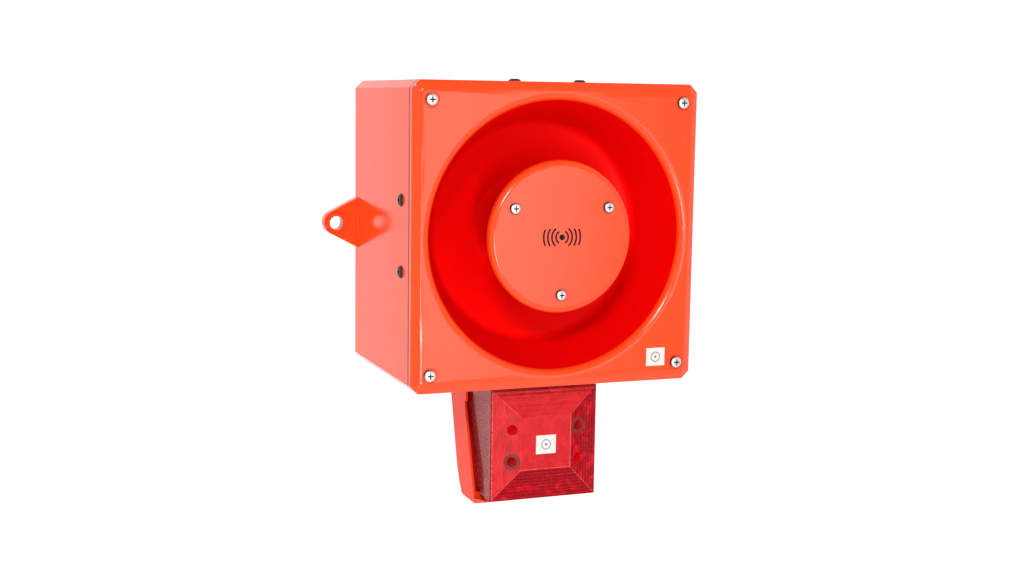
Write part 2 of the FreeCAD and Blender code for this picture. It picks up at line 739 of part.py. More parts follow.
def rear_cap():
    """Cover over the driver, screwed to the back of the horn's floor by its flange."""
    inner_r = MAGNET_R + 0.6
    outer_r = inner_r + CAP_WALL
    inside_y = PLATE_BACK + 2.5
    outside_y = inside_y + CAP_WALL
    flange_rear = FLOOR_BACK + CAP_FLANGE
    cap = turned([
        (inner_r, FLOOR_BACK, 0), (CAP_R, FLOOR_BACK, 0), (CAP_R, flange_rear, 1.0),
        (outer_r, flange_rear, 1.0), (outer_r, outside_y, 3.0), (0, outside_y, 0),
        (0, inside_y, 0), (inner_r, inside_y, 1.0),
    ])
    hole_span = (FLOOR_BACK - PAST, flange_rear + PAST)
    return cut_all(cap, [rod_y(x, z, hole_span, DRIVER_HOLE_R) for x, z in driver_screw_places()])


def driver_screws():
    """Screws through the cap's flange into the horn's floor, heads at the back."""
    seat = FLOOR_BACK + CAP_FLANGE
    head_top = seat + 2.6
    head_r = 3.4
    tip = FLOOR_BACK - DRIVER_SCREW_BITE + 0.4
    profile = [
        (0, head_top, 0), (head_r, head_top, 1.4), (head_r, seat, 0), (DRIVER_SCREW_R, seat, 0),
        (DRIVER_SCREW_R, tip, 0), (0, tip, 0),
    ]
    return [turned(profile, x, z) for x, z in driver_screw_places()]


# ---------------------------------------------------------------- main electronics
def board_screw_places():
    return [(sx * BOARD_SCREW_X, z) for sx in (-1, 1) for z in BOARD_SCREW_Z]


def main_board():
    plate = block((-BOARD_X, BOARD_X), (BOARD_FRONT, BOARD_BACK), BOARD_Z)
    hole_span = (BOARD_FRONT - PAST, BOARD_BACK + PAST)
    holes = [rod_y(x, z, hole_span, BOARD_HOLE_R) for x, z in board_screw_places()]
    return cut_all(plate, holes)


def board_standoffs():
    tapped_depth = 7.0
    solids = []
    for x, z in board_screw_places():
        pillar = rod_y(x, z, (BOARD_BACK, -BACK_WALL), STANDOFF_R)
        solids.append(pillar.cut(rod_y(x, z, (BOARD_BACK - PAST, BOARD_BACK + tapped_depth), BOARD_SCREW_R)))
    return solids


def board_screws():
    return [pan_screw(x, z, BOARD_FRONT, 2.9, 2.0, BOARD_SCREW_R, 7.5) for x, z in board_screw_places()]


def terminal_block():
    """Row of eight screw terminals, open to the wires at the bottom and to the driver at the front."""
    half_pitch = TERMINAL_PITCH / 2
    span = (TERMINAL_X[0] - half_pitch, TERMINAL_X[-1] + half_pitch)
    low = TERMINAL_Z - TERMINAL_HALF
    body = block(span, (BOARD_FRONT, TERMINAL_FRONT), (low, TERMINAL_Z + TERMINAL_HALF))
    wire_y = (BOARD_FRONT - 2.0, BOARD_FRONT - 5.4)
    wire_half = 2.0
    cutters = []
    for x in TERMINAL_X:
        cutters.append(rod_y(x, TERMINAL_Z, (TERMINAL_FRONT - PAST, TERMINAL_SCREW_BACK), TERMINAL_SCREW_R))
        cutters.append(block((x - wire_half, x + wire_half), wire_y, (low - PAST, low + 5.0)))
    return cut_all(body, cutters)


def terminal_screws():
    head_top = TERMINAL_FRONT + 3.0
    slot_half = 0.4
    screws = []
    for x in TERMINAL_X:
        head = rod_y(x, TERMINAL_Z, (head_top, TERMINAL_SCREW_BACK), TERMINAL_SCREW_R)
        slot = block((x - TERMINAL_SCREW_R, x + TERMINAL_SCREW_R), (head_top - PAST, head_top + 1.0),
                     (TERMINAL_Z - slot_half, TERMINAL_Z + slot_half))
        screws.append(head.cut(slot))
    return screws


def window_spans(gap):
    """Left and right limits of the core's two windows, drawn in by a gap."""
    inner = CORE_POLE_HALF + gap
    outer = CORE_POLE_HALF + CORE_WINDOW - gap
    return [(CORE_X - outer, CORE_X - inner), (CORE_X + inner, CORE_X + outer)]


def transformer_core():
    """Laminated frame with two windows around the winding."""
    outer = block((CORE_X - CORE_HALF, CORE_X + CORE_HALF), (BOARD_FRONT, BOARD_FRONT - CORE_HEIGHT), CORE_Z)
    window_z = (CORE_Z[0] + CORE_YOKE, CORE_Z[1] - CORE_YOKE)
    span_y = (BOARD_FRONT + PAST, BOARD_FRONT - CORE_HEIGHT - PAST)
    windows = [block(span_x, span_y, window_z) for span_x in window_spans(0.0)]
    return cut_all(outer, windows)


def transformer_winding():
    """Coil that fills the windows and bulges in front of the core."""
    gap = 0.3
    foot = BOARD_FRONT - 0.5
    bulge = 4.0
    span_z = (CORE_Z[0] + CORE_YOKE + gap, CORE_Z[1] - CORE_YOKE - gap)
    spans = window_spans(gap)
    core_front = BOARD_FRONT - CORE_HEIGHT
    legs = [block(span, (foot, core_front - bulge / 2), span_z) for span in spans]
    front = block((spans[0][0], spans[1][1]), (core_front, core_front - bulge), span_z)
    return fuse_all(legs + [front])


def capacitor(x, z, radius, height):
    """Upright can with a rolled groove near its foot."""
    foot = BOARD_FRONT
    groove = foot - 3.2
    half_groove = 0.6
    return turned([
        (0, foot, 0), (radius, foot, 0.8), (radius, groove + half_groove, 0), (radius - 0.7, groove, 0),
        (radius, groove - half_groove, 0), (radius, foot - height, 1.0), (0, foot - height, 0),
    ], x, z)


def heat_sink():
    """Finned block that the power transistor is bolted to."""
    span_y = (BOARD_FRONT, BOARD_FRONT - SINK_HEIGHT)
    base = block(SINK_X, span_y, (SINK_FACE_Z, SINK_FACE_Z + SINK_BASE))
    fin_thick = 1.5
    fin_z = (SINK_FACE_Z + SINK_BASE - BITE, SINK_FACE_Z + SINK_BASE + 7.0)
    starts = [SINK_X[0] + step for step in range(0, 38, 5)]
    fins = [block((start, start + fin_thick), span_y, fin_z) for start in starts]
    return fuse_all([base] + fins)


def power_transistor():
    """Flat-backed transistor with a metal tab and three legs, bolted to the heat sink."""
    foot = BOARD_FRONT - 4.0
    tab_thick = 1.3
    body_thick = 3.2
    leg_half = 0.4
    tab_face = SINK_FACE_Z - tab_thick
    leg_z = tab_face - 1.5
    tab = block(TRANSISTOR_X, (foot, BOARD_FRONT - 20.0), (SINK_FACE_Z, tab_face))
    case = block(TRANSISTOR_X, (foot, BOARD_FRONT - 13.0), (tab_face, tab_face - body_thick))
    legs = []
    for x in (-3.5, -1.0, 1.5):
        legs.append(block((x - leg_half, x + leg_half), (BOARD_FRONT, foot - BITE),
                          (leg_z - leg_half, leg_z + leg_half)))
    return fuse_all([tab, case] + legs)


def fuse_holder():
    """Two open clips on a strip."""
    clip_length = 6.0
    half = 4.0
    bed_thick = 1.5
    span_z = (FUSE_Z - half, FUSE_Z + half)
    clips = [block((x, x + clip_length), (BOARD_FRONT, FUSE_Y - bed_thick), span_z) for x in CLIP_X]
    bed = block((CLIP_X[0], CLIP_X[1] + clip_length), (BOARD_FRONT, BOARD_FRONT - bed_thick), span_z)
    holder = fuse_all(clips + [bed])
    bore_span = (CLIP_X[0] - PAST, CLIP_X[1] + clip_length + PAST)
    return holder.cut(rod_x(FUSE_Y, FUSE_Z, bore_span, FUSE_R))


def fuse():
    return rod_x(FUSE_Y, FUSE_Z, FUSE_X, FUSE_R)


def tone_switch():
    """Body of the four-way tone switch, with one slot for each slider."""
    margin = 2.2
    half_height = 4.5
    body = block((TONE_X[0] - margin, TONE_X[-1] + margin), (BOARD_FRONT, TONE_FRONT),
                 (TONE_Z - half_height, TONE_Z + half_height))
    slot_y = (TONE_FRONT - PAST, TONE_FRONT + TONE_DEPTH)
    slot_z = (TONE_Z - TONE_SLOT_HALF, TONE_Z + TONE_SLOT_HALF)
    slots = [block((x - TONE_SLOT / 2, x + TONE_SLOT / 2), slot_y, slot_z) for x in TONE_X]
    return cut_all(body, slots)


def tone_slider(x):
    """Slider standing at the lower end of its slot."""
    half = TONE_SLOT / 2 - TONE_GAP
    low = TONE_Z - TONE_SLOT_HALF + 2 * TONE_GAP
    high = TONE_Z + TONE_SLOT_HALF - 2 * TONE_GAP - TONE_TRAVEL
    span_y = (TONE_FRONT + TONE_DEPTH - 2 * TONE_GAP, TONE_FRONT - TONE_PROUD)
    return block((x - half, x + half), span_y, (low, high))


def volume_body():
    half = 7.0
    bush_end = VOLUME_FRONT - 5.0
    span_x = (VOLUME_X - half, VOLUME_X + half)
    case = block(span_x, (BOARD_FRONT, VOLUME_FRONT), (VOLUME_Z - half, VOLUME_Z + half))
    bush = rod_y(VOLUME_X, VOLUME_Z, (VOLUME_FRONT + BITE, bush_end), 4.6)
    bore = rod_y(VOLUME_X, VOLUME_Z, (BOARD_FRONT - 2.0, bush_end - PAST), SHAFT_R + SHAFT_CLEARANCE)
    return fuse_all([case, bush]).cut(bore)


def volume_shaft():
    """Shaft with a screwdriver slot in its end."""
    end = VOLUME_FRONT - 12.0
    slot_half = 0.5
    shaft = rod_y(VOLUME_X, VOLUME_Z, (BOARD_FRONT - 2.3, end), SHAFT_R)
    slot = block((VOLUME_X - SHAFT_R - PAST, VOLUME_X + SHAFT_R + PAST), (end - PAST, end + 2.0),
                 (VOLUME_Z - slot_half, VOLUME_Z + slot_half))
    return shaft.cut(slot)


# ---------------------------------------------------------------- strobe
def front_line(z):
    """Depth of the slanting front edge of the strobe housing's sides."""
    (y_low, z_low), (y_high, z_high) = EDGE_LOW, EDGE_HIGH
    return y_low + (z - z_low) / (z_high - z_low) * (y_high - y_low)


def behind_line(offset, z):
    return (front_line(z) + offset, z)


def slanting_frame(near, far, low, high):
    """Four corners (y, z) of a slab that lies behind the slanting front edge."""
    return [behind_line(near, low), behind_line(near, high), behind_line(far, high), behind_line(far, low)]


def strobe_housing():
    """Sloping box under the main body, open along its slanting front, with a lip under the lens."""
    outer = prism_x(HOUSING_OUTLINE, (-HOUSING_X, HOUSING_X))
    seal_rear = SKIRT_DEPTH + SEAL_THICK
    ledge_half = HOUSING_X - HOUSING_LEDGE
    rear_points = REAR_WALL_INSIDE + [behind_line(seal_rear, REAR_WALL_INSIDE[-1][1]),
                                      behind_line(seal_rear, HOUSING_CEILING)]
    rear = prism_x(rear_points, (-ledge_half, ledge_half))
    open_half = HOUSING_X - HOUSING_WALL
    open_top = SEAL_TOP + SEAL_FIT
    front_points = [behind_line(seal_rear, HOUSING_FLOOR), (LENS_POCKET_FRONT, HOUSING_FLOOR),
                    (LENS_POCKET_FRONT, open_top), behind_line(seal_rear, open_top)]
    front = prism_x(front_points, (-open_half, open_half))
    inside_or_wall = prism_x(HOUSING_BACK + [(LENS_POST_END, HOUSING_FLOOR), (LENS_POST_END, HOUSING_TOP)],
                             (-HOUSING_X, HOUSING_X))
    posts = []
    for x, z in lens_screw_places():
        posts.append(rod_y(x, z, (HOUSING_BACK[0][0], LENS_POST_END), LENS_POST_R).common(inside_or_wall))
    housing = fuse_all([cut_all(outer, [rear, front])] + posts)
    hole_span = (LENS_POST_END - PAST, LENS_POST_END + LENS_SCREW_BITE)
    cutters = [rod_y(x, z, hole_span, LENS_POST_HOLE_R) for x, z in lens_screw_places()]
    cutters.append(rod_z(0, NIPPLE_Y, (HOUSING_TOP + PAST, HOUSING_CEILING - PAST), NIPPLE_R))
    return cut_all(housing, cutters)


def strobe_seal():
    """Rubber frame on the ledge inside the housing, behind the lens's skirt."""
    low = HOUSING_FLOOR + SEAL_FIT
    rear = SKIRT_DEPTH + SEAL_THICK
    half = HOUSING_X - HOUSING_WALL - SEAL_FIT
    outer = prism_x(slanting_frame(SKIRT_DEPTH, rear, low, SEAL_TOP), (-half, half))
    window_low = low + SEAL_BAND_LOW
    window_high = SEAL_TOP - SEAL_BAND_HIGH
    near = SKIRT_DEPTH - SEAL_REACH
    far = rear + SEAL_REACH
    inner = prism_x(slanting_frame(near, far, window_low, window_high), (-LENS_CAVITY_X, LENS_CAVITY_X))
    return outer.cut(inner)


def well_places():
    return [(sx * WELL_X, z) for sx in (-1, 1) for z in (WELL_UPPER_Z, WELL_LOWER_Z)]


def lens_screw_places():
    return [(-WELL_X, WELL_LOWER_Z), (WELL_X, WELL_UPPER_Z)]


def pyramid(front_y, rear_y, inset, rear_inset):
    wide = rectangle(LENS_X - rear_inset, LENS_BOTTOM + rear_inset, LENS_TOP - rear_inset)
    narrow = rectangle(PYRAMID_HALF - inset, PYRAMID_Z[0] + inset, PYRAMID_Z[1] - inset)
    return loft_y(wide, rear_y, narrow, front_y)


def strobe_lens():
    """Hollow lens: a block with a low pyramid in front, a band behind it and an insert for the housing."""
    head = prism_x([(LENS_FRONT, LENS_BOTTOM), (LENS_FRONT, LENS_TOP)] + LENS_SIDE_REAR, (-LENS_X, LENS_X))
    band_top = SKIRT_SIDE_REAR[0][1]
    band_front = [(BAND_FRONT, SKIRT_BOTTOM), (BAND_FRONT, band_top)]
    band = prism_x(band_front + SKIRT_SIDE_REAR, (-SKIRT_X, SKIRT_X))
    insert_low = SKIRT_BOTTOM + SEAL_FIT
    insert_high = band_top - SEAL_FIT
    insert_front = [(BAND_FRONT, insert_low), (BAND_FRONT, insert_high)]
    insert_rear = [behind_line(SKIRT_DEPTH, insert_high), behind_line(SKIRT_DEPTH, insert_low)]
    insert = prism_x(insert_front + insert_rear, (-INSERT_X, INSERT_X))
    outer = fuse_all([head, band, insert, pyramid(PYRAMID_FRONT, LENS_FRONT, 0, PYRAMID_FOOT)])
    inside_top = LENS_TOP - LENS_WALL
    inside_low = LENS_BOTTOM + LENS_WALL
    cavity = prism_x([(CAVITY_FRONT, inside_top), (CAVITY_REAR[0], inside_top - 1.0),
                      (CAVITY_REAR[1], SKIRT_BOTTOM + LENS_RIM_LOW), (CAVITY_FRONT, inside_low)],
                     (-LENS_CAVITY_X, LENS_CAVITY_X))
    hollow = [cavity, pyramid(PYRAMID_FRONT + LENS_WALL, CAVITY_FRONT, 0.6, PYRAMID_FOOT + LENS_WALL)]
    tubes = []
    bores = []
    for x, z in well_places():
        floor = WELL_FLOOR if (x, z) in lens_screw_places() else BLIND_FLOOR
        tubes.append(rod_y(x, z, (LENS_FRONT - 0.6, floor + WELL_BASE), WELL_TUBE_R))
        bores.append(rod_y(x, z, (PYRAMID_FRONT - PAST, floor), WELL_R))
        if floor == WELL_FLOOR:
            bores.append(rod_y(x, z, (floor - PAST, floor + WELL_BASE + PAST), LENS_HOLE_R))
    return cut_all(fuse_all([cut_all(outer, hollow)] + tubes), bores)


def lens_screws():
    return [pan_screw(x, z, WELL_FLOOR, 3.9, 2.8, LENS_SCREW_R, 17.0) for x, z in lens_screw_places()]


def lens_seal_rings():
    """Rubber rings round the two screw wells, behind the lens's front."""
    rings = []
    for x, z in lens_screw_places():
        ring = rod_y(x, z, RING_SPAN, RING_R)
        rings.append(ring.cut(rod_y(x, z, (RING_SPAN[0] + PAST, RING_SPAN[1] - PAST), WELL_TUBE_R)))
    return rings


def strobe_board():
    span_x = (-STROBE_BOARD_HALF, STROBE_BOARD_HALF)
    plate = block(span_x, (STROBE_BOARD_Y, STROBE_BOARD_BACK), STROBE_BOARD_Z)
    hole_span = (STROBE_BOARD_Y - PAST, STROBE_BOARD_BACK + PAST)
    return cut_all(plate, [rod_y(x, z, hole_span, STROBE_HOLE_R) for x, z in STROBE_BOARD_PLACES])


def strobe_standoffs():
    front_side = [(LENS_POST_END, REAR_WALL_INSIDE[-1][1]), (LENS_POST_END, HOUSING_CEILING)]
    half = HOUSING_X - HOUSING_LEDGE
    inside = prism_x(REAR_WALL_INSIDE + front_side, (-half, half))
    tapped_end = STROBE_BOARD_Y + 8.0
    solids = []
    for x, z in STROBE_BOARD_PLACES:
        pillar = rod_y(x, z, (HOUSING_BACK[0][0], STROBE_BOARD_BACK), STROBE_STANDOFF_R).common(inside)
        solids.append(pillar.cut(rod_y(x, z, (STROBE_BOARD_Y, tapped_end), STROBE_SCREW_R)))
    return solids


def strobe_board_screws():
    return [pan_screw(x, z, STROBE_BOARD_Y, 2.6, 1.8, STROBE_SCREW_R, 7.0) for x, z in STROBE_BOARD_PLACES]


def strobe_capacitor():
    """Flash capacitor lying along X behind the strobe board."""
    return rod_x(FLASH_CAP_Y, FLASH_CAP_Z, (-FLASH_CAP_HALF, FLASH_CAP_HALF), FLASH_CAP_R)


def trigger_coil():
    """Small bobbin behind the strobe board."""
    cheek_r = 7.0
    core_r = 4.6
    cheek = 1.5
    near = STROBE_BOARD_BACK + 1.0
    far = STROBE_BOARD_BACK + 12.0
    cheeks = [rod_y(0, COIL_Z, (start, start + cheek), cheek_r) for start in (near, far)]
    core = rod_y(0, COIL_Z, (STROBE_BOARD_BACK, far + BITE), core_r)
    return fuse_all([core] + cheeks)


def reflector():
    """Four-sided tray behind the flash tube, standing on the board on two legs."""
    wall = 1.0
    lip = 0.7
    plate = 1.2
    base_x = 15.0
    mouth_x = 22.5
    base_z = (TUBE_Z - 14.0, TUBE_Z + 14.0)
    mouth_z = (TUBE_Z - 22.0, TUBE_Z + 22.0)
    outer = loft_y(rectangle(base_x, *base_z), REFLECTOR_BASE, rectangle(mouth_x, *mouth_z), REFLECTOR_MOUTH)
    inner = loft_y(rectangle(base_x - wall, base_z[0] + wall, base_z[1] - wall), REFLECTOR_BASE - plate,
                   rectangle(mouth_x - lip, mouth_z[0] + lip, mouth_z[1] - lip), REFLECTOR_MOUTH - 0.01)
    tray = outer.cut(inner)
    leg_span = (STROBE_BOARD_Y, REFLECTOR_BASE - BITE)
    legs = [block((x - 3.0, x + 3.0), leg_span, (TUBE_Z - 12.0, TUBE_Z - 9.0)) for x in (-6.0, 6.0)]
    hole_span = (REFLECTOR_BASE + PAST, REFLECTOR_BASE - plate - PAST)
    holes = [rod_y(x, TUBE_Z, hole_span, LEAD_HOLE_R) for x in LEAD_X]
    return cut_all(fuse_all([tray] + legs), holes)


def flash_tube():
    """Glass tube with rounded ends."""
    barrel = rod_x(TUBE_Y, TUBE_Z, (-TUBE_HALF, TUBE_HALF), TUBE_R)
    return barrel.makeFillet(TUBE_R * 0.8, barrel.Edges[:1] + barrel.Edges[2:3])


def tube_leads():
    """Wires from the two ends of the flash tube back to the board."""
    return [rod_y(x, TUBE_Z, (STROBE_BOARD_Y, TUBE_Y + TUBE_R), LEAD_R) for x in LEAD_X]


def strobe_nipple():
    """Threaded tube that carries the wires from the box down into the strobe housing."""
    top = -HALF + WALL + NIPPLE_PROUD
    low = -HALF - NIPPLE_PROUD
    tube = rod_z(0, NIPPLE_Y, (low, top), NIPPLE_R)
    flange = rod_z(0, NIPPLE_Y, (HOUSING_CEILING, HOUSING_CEILING - 2.5), NIPPLE_R + 3.0)
    return fuse_all([tube, flange]).cut(rod_z(0, NIPPLE_Y, (low - PAST, top + PAST), NIPPLE_BORE_R))


def strobe_locknut():
    corner_r = 13.5
    seat = -HALF + WALL
    nut = prism_z(hexagon(corner_r, 0, NIPPLE_Y), (seat, seat + 6.0))
    return nut.cut(rod_z(0, NIPPLE_Y, (seat - PAST, seat + 6.0 + PAST), NIPPLE_R))


# ---------------------------------------------------------------- plain stickers
def sticker(x_range, z_range, face_y, thickness):
    return block(x_range, (face_y, face_y - thickness), z_range)


# ---------------------------------------------------------------- write every node
save("rear_body", rear_body())
save("lug_plates", lug(-1), lug(1))
save("body_gasket", body_gasket())
save("frame_screws", *placed_on_frame(button_screw()))
save("frame_nuts", *placed_on_frame(frame_nut()))
save("stopping_plug", stopping_plug())
save("front_cover", front_cover())
save("horn_bowl", horn_bowl())
save("centre_disc", centre_disc())
save("disc_screws", *disc_screws())
save("cover_screws", *cover_screws())
save("throat_tube", throat_tube())
save("inner_cup", inner_cup())
save("cup_legs", *cup_legs())
save("driver_ring", driver_ring())
save("diaphragm", diaphragm())
save("voice_coil", voice_coil())
save("top_plate", top_plate())
save("magnet", magnet())
save("back_plate", back_plate())
save("rear_cap", rear_cap())
save("driver_screws", *driver_screws())
save("main_board", main_board())
save("board_standoffs", *board_standoffs())
save("board_screws", *board_screws())
save("terminal_block", terminal_block())
save("terminal_screws", *terminal_screws())
save("transformer_core", transformer_core())
save("transformer_winding", transformer_winding())
save("reservoir_capacitors", *[capacitor(x, z, CAN_R, CAN_HEIGHT) for x, z in CAN_PLACES])
save("heat_sink", heat_sink())
save("power_transistor", power_transistor())
save("fuse_holder", fuse_holder())
save("fuse", fuse())
save("tone_switch", tone_switch())
for number, slider_x in enumerate(TONE_X, start=1):
    save("tone_slider_%d" % number, tone_slider(slider_x))
save("volume_body", volume_body())
save("volume_shaft", volume_shaft())
save("strobe_housing", strobe_housing())
save("strobe_seal", strobe_seal())
save("strobe_lens", strobe_lens())
save("lens_screws", *lens_screws())
save("lens_seal_rings", *lens_seal_rings())
save("strobe_board", strobe_board())
save("strobe_standoffs", *strobe_standoffs())
save("strobe_board_screws", *strobe_board_screws())
save("strobe_capacitor", strobe_capacitor())
save("trigger_coil", trigger_coil())
save("reflector", reflector())
save("flash_tube", flash_tube())
save("tube_leads", *tube_leads())
save("strobe_nipple", strobe_nipple())
save("strobe_locknut", strobe_locknut())
save("face_label", sticker(FACE_LABEL_X, FACE_LABEL_Z, FACE, LABEL_THICK))
save("disc_mark", sticker(MARK_X, MARK_Z, DISC_FRONT, MARK_THICK))
save("lens_label", sticker(LENS_LABEL_X, LENS_LABEL_Z, PYRAMID_FRONT, LABEL_THICK))
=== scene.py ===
import json
import math

import bmesh
import bpy
from mathutils import Matrix, Vector


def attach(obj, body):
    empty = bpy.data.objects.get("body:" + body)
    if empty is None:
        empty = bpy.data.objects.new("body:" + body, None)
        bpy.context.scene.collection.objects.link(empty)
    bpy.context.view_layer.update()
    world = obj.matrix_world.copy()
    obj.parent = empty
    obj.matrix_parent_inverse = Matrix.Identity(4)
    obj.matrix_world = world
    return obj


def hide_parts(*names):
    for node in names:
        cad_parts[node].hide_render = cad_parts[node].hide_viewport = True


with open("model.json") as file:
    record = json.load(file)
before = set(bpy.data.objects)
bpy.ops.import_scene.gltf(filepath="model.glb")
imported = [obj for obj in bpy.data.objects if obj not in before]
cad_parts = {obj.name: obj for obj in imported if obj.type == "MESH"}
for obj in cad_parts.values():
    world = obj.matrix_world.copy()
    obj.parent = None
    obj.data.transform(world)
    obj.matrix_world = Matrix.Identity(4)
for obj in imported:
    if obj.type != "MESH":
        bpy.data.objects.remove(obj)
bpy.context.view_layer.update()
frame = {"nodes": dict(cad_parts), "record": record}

MM = 0.001

# ---------------------------------------------------------------- view and light
CAMERA_PLACE = Vector((-0.4583, -1.2430, 0.1097))
CAMERA_YAW = math.radians(-21.23)
CAMERA_PITCH = math.radians(7.35)
CAMERA_ROLL = math.radians(0.86)
CAMERA_LENS = 50.54
CAMERA_REACH = 60.0
SENSOR = 36.0
AMBIENT = 0.22
SUBJECT = Vector((0.0, -0.17, -0.02))
STAGE_R = 3.4
STAGE_BEND = 1.5
STAGE_FLOOR = -1.1
STAGE_TOP = 5.0
STAGE_STEPS = 14
STAGE_SIDES = 96
STAGE_GLOW = (0.20, 0.94)       # strength of its own light in front and behind
STAGE_FADE = (-3.2, -0.8)       # depths between which the one passes into the other
STAGE_TONES = ((0.20, 0.20, 0.20), (0.22, 0.22, 0.22))
LIGHTS = (                      # name, place, size, watts, shape
    ("edge_strip", (-0.40, -2.10, -0.45), (0.12, 0.60), 15.0, "RECTANGLE"),
    ("soft_card", (0.58, -2.55, -0.08), (1.00, 1.50), 10.5, "ELLIPSE"),
    ("upper_left", (-0.9, -2.0, 1.0), (0.4, 0.4), 29.0, "RECTANGLE"),
)

# ---------------------------------------------------------------- places shared with the CAD model, metres
LENS_X = 48.0 * MM
LENS_FRONT = -147.0 * MM
LENS_TOP = -130.0 * MM
LENS_BOTTOM = -225.5 * MM
LENS_RIM = 1.05 * MM
LENS_LEFT_EDGE = -LENS_X + LENS_RIM + 0.6 * MM      # right end of the painted highlight beside the left rim
LENS_SKIRT = (0.6 * MM, 2.0 * MM)       # how far inside its sides the lens's rear band lies
LENS_RIM_REAR = -145.6 * MM
LENS_FLANK_EDGE = (0.4 * MM, 0.6 * MM)  # how far inside its sides the flanks' own tone ends
PYRAMID_FRONT = -152.5 * MM     # the raised square in the lens's middle
PYRAMID_HALF = 22.5 * MM
PYRAMID_Z = (-199.0 * MM, -153.5 * MM)
PYRAMID_MIDDLE = (PYRAMID_Z[0] + PYRAMID_Z[1]) / 2
RIDGE_SHARE = 0.016             # half width of a ridge's painted highlight line, as a share of a facet's width
RIDGE_HIGHLIGHT_STRENGTH = 0.6
# strength of the painted highlight beside the lens's left rim
GLINT_STRENGTH = 0.7
FACET_BANDS = 9                 # bands of painted shade across each right and lower facet
WELL_R = 4.5 * MM
SEAL_R = 6.9 * MM
SEALED_WELLS = ((-30.0 * MM, -191.5 * MM), (30.0 * MM, -164.0 * MM))
WELLS = [(x * MM, z * MM) for x in (-30.0, 30.0) for z in (-191.5, -164.0)]
SKIRT_FRONT = -136.0 * MM
RIB_PITCH = 1.9 * MM
RIB_DEPTH = 0.22 * MM
RIB_HALF = RIB_PITCH * 0.42     # half a groove's width at the lens's side
RIB_FRONT = LENS_FRONT + 1.4 * MM
RIB_REAR = -95.0 * MM
RIB_MARGIN = 0.5 * MM           # left smooth at the top and bottom of each flank
FACET_FOOT = 0.6 * MM           # how far inside the lens's outline the facets start
FACET_GROOVES = 20
FACET_SPAN = (0.02, 0.97)       # grooved part of the way from the rim to the raised square
FACET_HALF_SHARE = 0.30         # half a facet groove's width, as a share of their pitch
FACET_DEPTH = RIB_DEPTH * 0.8
BODY_FRONT = -162.7 * MM
SEAM_WIDTH = 1.9 * MM           # how far the painted shadow beside the cover's joint reaches onto the body
SEAM_FADE = 0.4 * MM
LUG_HOLE_X = 145.0 * MM
LUG_LINES = [(side * LUG_HOLE_X, 0.0, inner * MM, outer * MM)
             for side in (-1, 1) for inner, outer in ((5.9, 6.7), (8.8, 9.6))]
DISC_SCREW_CIRCLE = 47.5 * MM
DISC_SCREW_TURNS = [math.radians(angle) for angle in (30, 150, 270)]
# painted shade rings round the disc's screw heads
DISC_SHADE_LINES = [(DISC_SCREW_CIRCLE * math.cos(turn), DISC_SCREW_CIRCLE * math.sin(turn), 4.3 * MM, 5.3 * MM)
              for turn in DISC_SCREW_TURNS]
BOWL_OUTLINE = [                # radius, depth and rounding of the flare's corners, millimetres
    (110.5, -166.5, 0), (93.0, -117.2, 9.0), (50.0, -103.0, 14.0), (16.0, -100.5, 0), (16.0, -97.0, 0),
    (54.0, -97.0, 2.0), (96.4, -113.6, 10.0), (113.5, -163.5, 0), (117.5, -163.5, 0), (117.5, -166.5, 0),
]
BOWL_ARC_STEPS = 14
BOWL_SEGMENTS = 288
FACE_LABEL = (90.6 * MM, -104.05 * MM)
LENS_LABEL = (0.0, -178.0 * MM)
LABEL_RING = (3.6 * MM, 4.4 * MM)
LABEL_DOT = 1.1 * MM
MARK_FACES = (-178.7 * MM, -178.5 * MM)
MARK_DOT = 2.4 * MM
MARK_LINE = 1.5 * MM
MARK_WAVES = ((4.6 * MM, 62), (8.2 * MM, 52), (11.8 * MM, 34), (15.4 * MM, 24))    # radius, half angle
DOT_STEPS = 71
WAVE_STEPS = 40

# ---------------------------------------------------------------- mesh tolerances and shading angles
WELD_DISTANCE = 0.000002
CARVE_WELD = 0.000001
CARVE_FLAT = math.radians(0.5)          # faces nearer to one plane than this are joined before carving
ROUND_ANGLE = math.radians(38)          # edges sharper than this are rounded
NODE_SHARP = math.radians(28)           # edges sharper than this stay sharp in the shading
LATHE_SHARP = math.radians(35)
LENS_SHARP = math.radians(12)
ROUND_SEGMENTS = 3
ROUNDED_NODES = {
    "rear_body": 0.3 * MM,
    "front_cover": 0.35 * MM,
    "strobe_housing": 0.4 * MM,
    "lug_plates": 0.6 * MM,
}

# ---------------------------------------------------------------- colours and how they are laid out
ORANGE_FACE = (0.86, 0.050, 0.005)
ORANGE_SIDE = (0.90, 0.054, 0.007)
HOUSING_ORANGE = (0.78, 0.040, 0.006)
BOWL_RED = (0.70, 0.0004, 0.0002)
LENS_DARK = (0.42, 0.011, 0.016)
LENS_RED = (0.50, 0.016, 0.020)
LENS_BRIGHT = (0.58, 0.022, 0.025)
# painted shade, painted shade bands and painted glow on the lens's right and lower facets
LENS_SHADE_DEEP = (0.37, 0.0006, 0.0060)
LENS_PAINTED_GLOW = (0.26, 0.0030, 0.0070)
LENS_SHADED = (0.18, 0.0004, 0.0040)
# painted shade round the lens's front rim
LENS_RIM_SHADE = (0.09, 0.0006, 0.0030)
# painted highlight on the lens's ridges and beside its left rim
LENS_RIDGE_HIGHLIGHT = (0.90, 0.26, 0.26)
LENS_FLANK = (0.30, 0.046, 0.044)
LENS_FLANK_DARK = (0.26, 0.034, 0.033)
# the skirt's dark band: partly its own darker red, partly painted shade
LENS_BAND = (0.22, 0.0008, 0.0014)
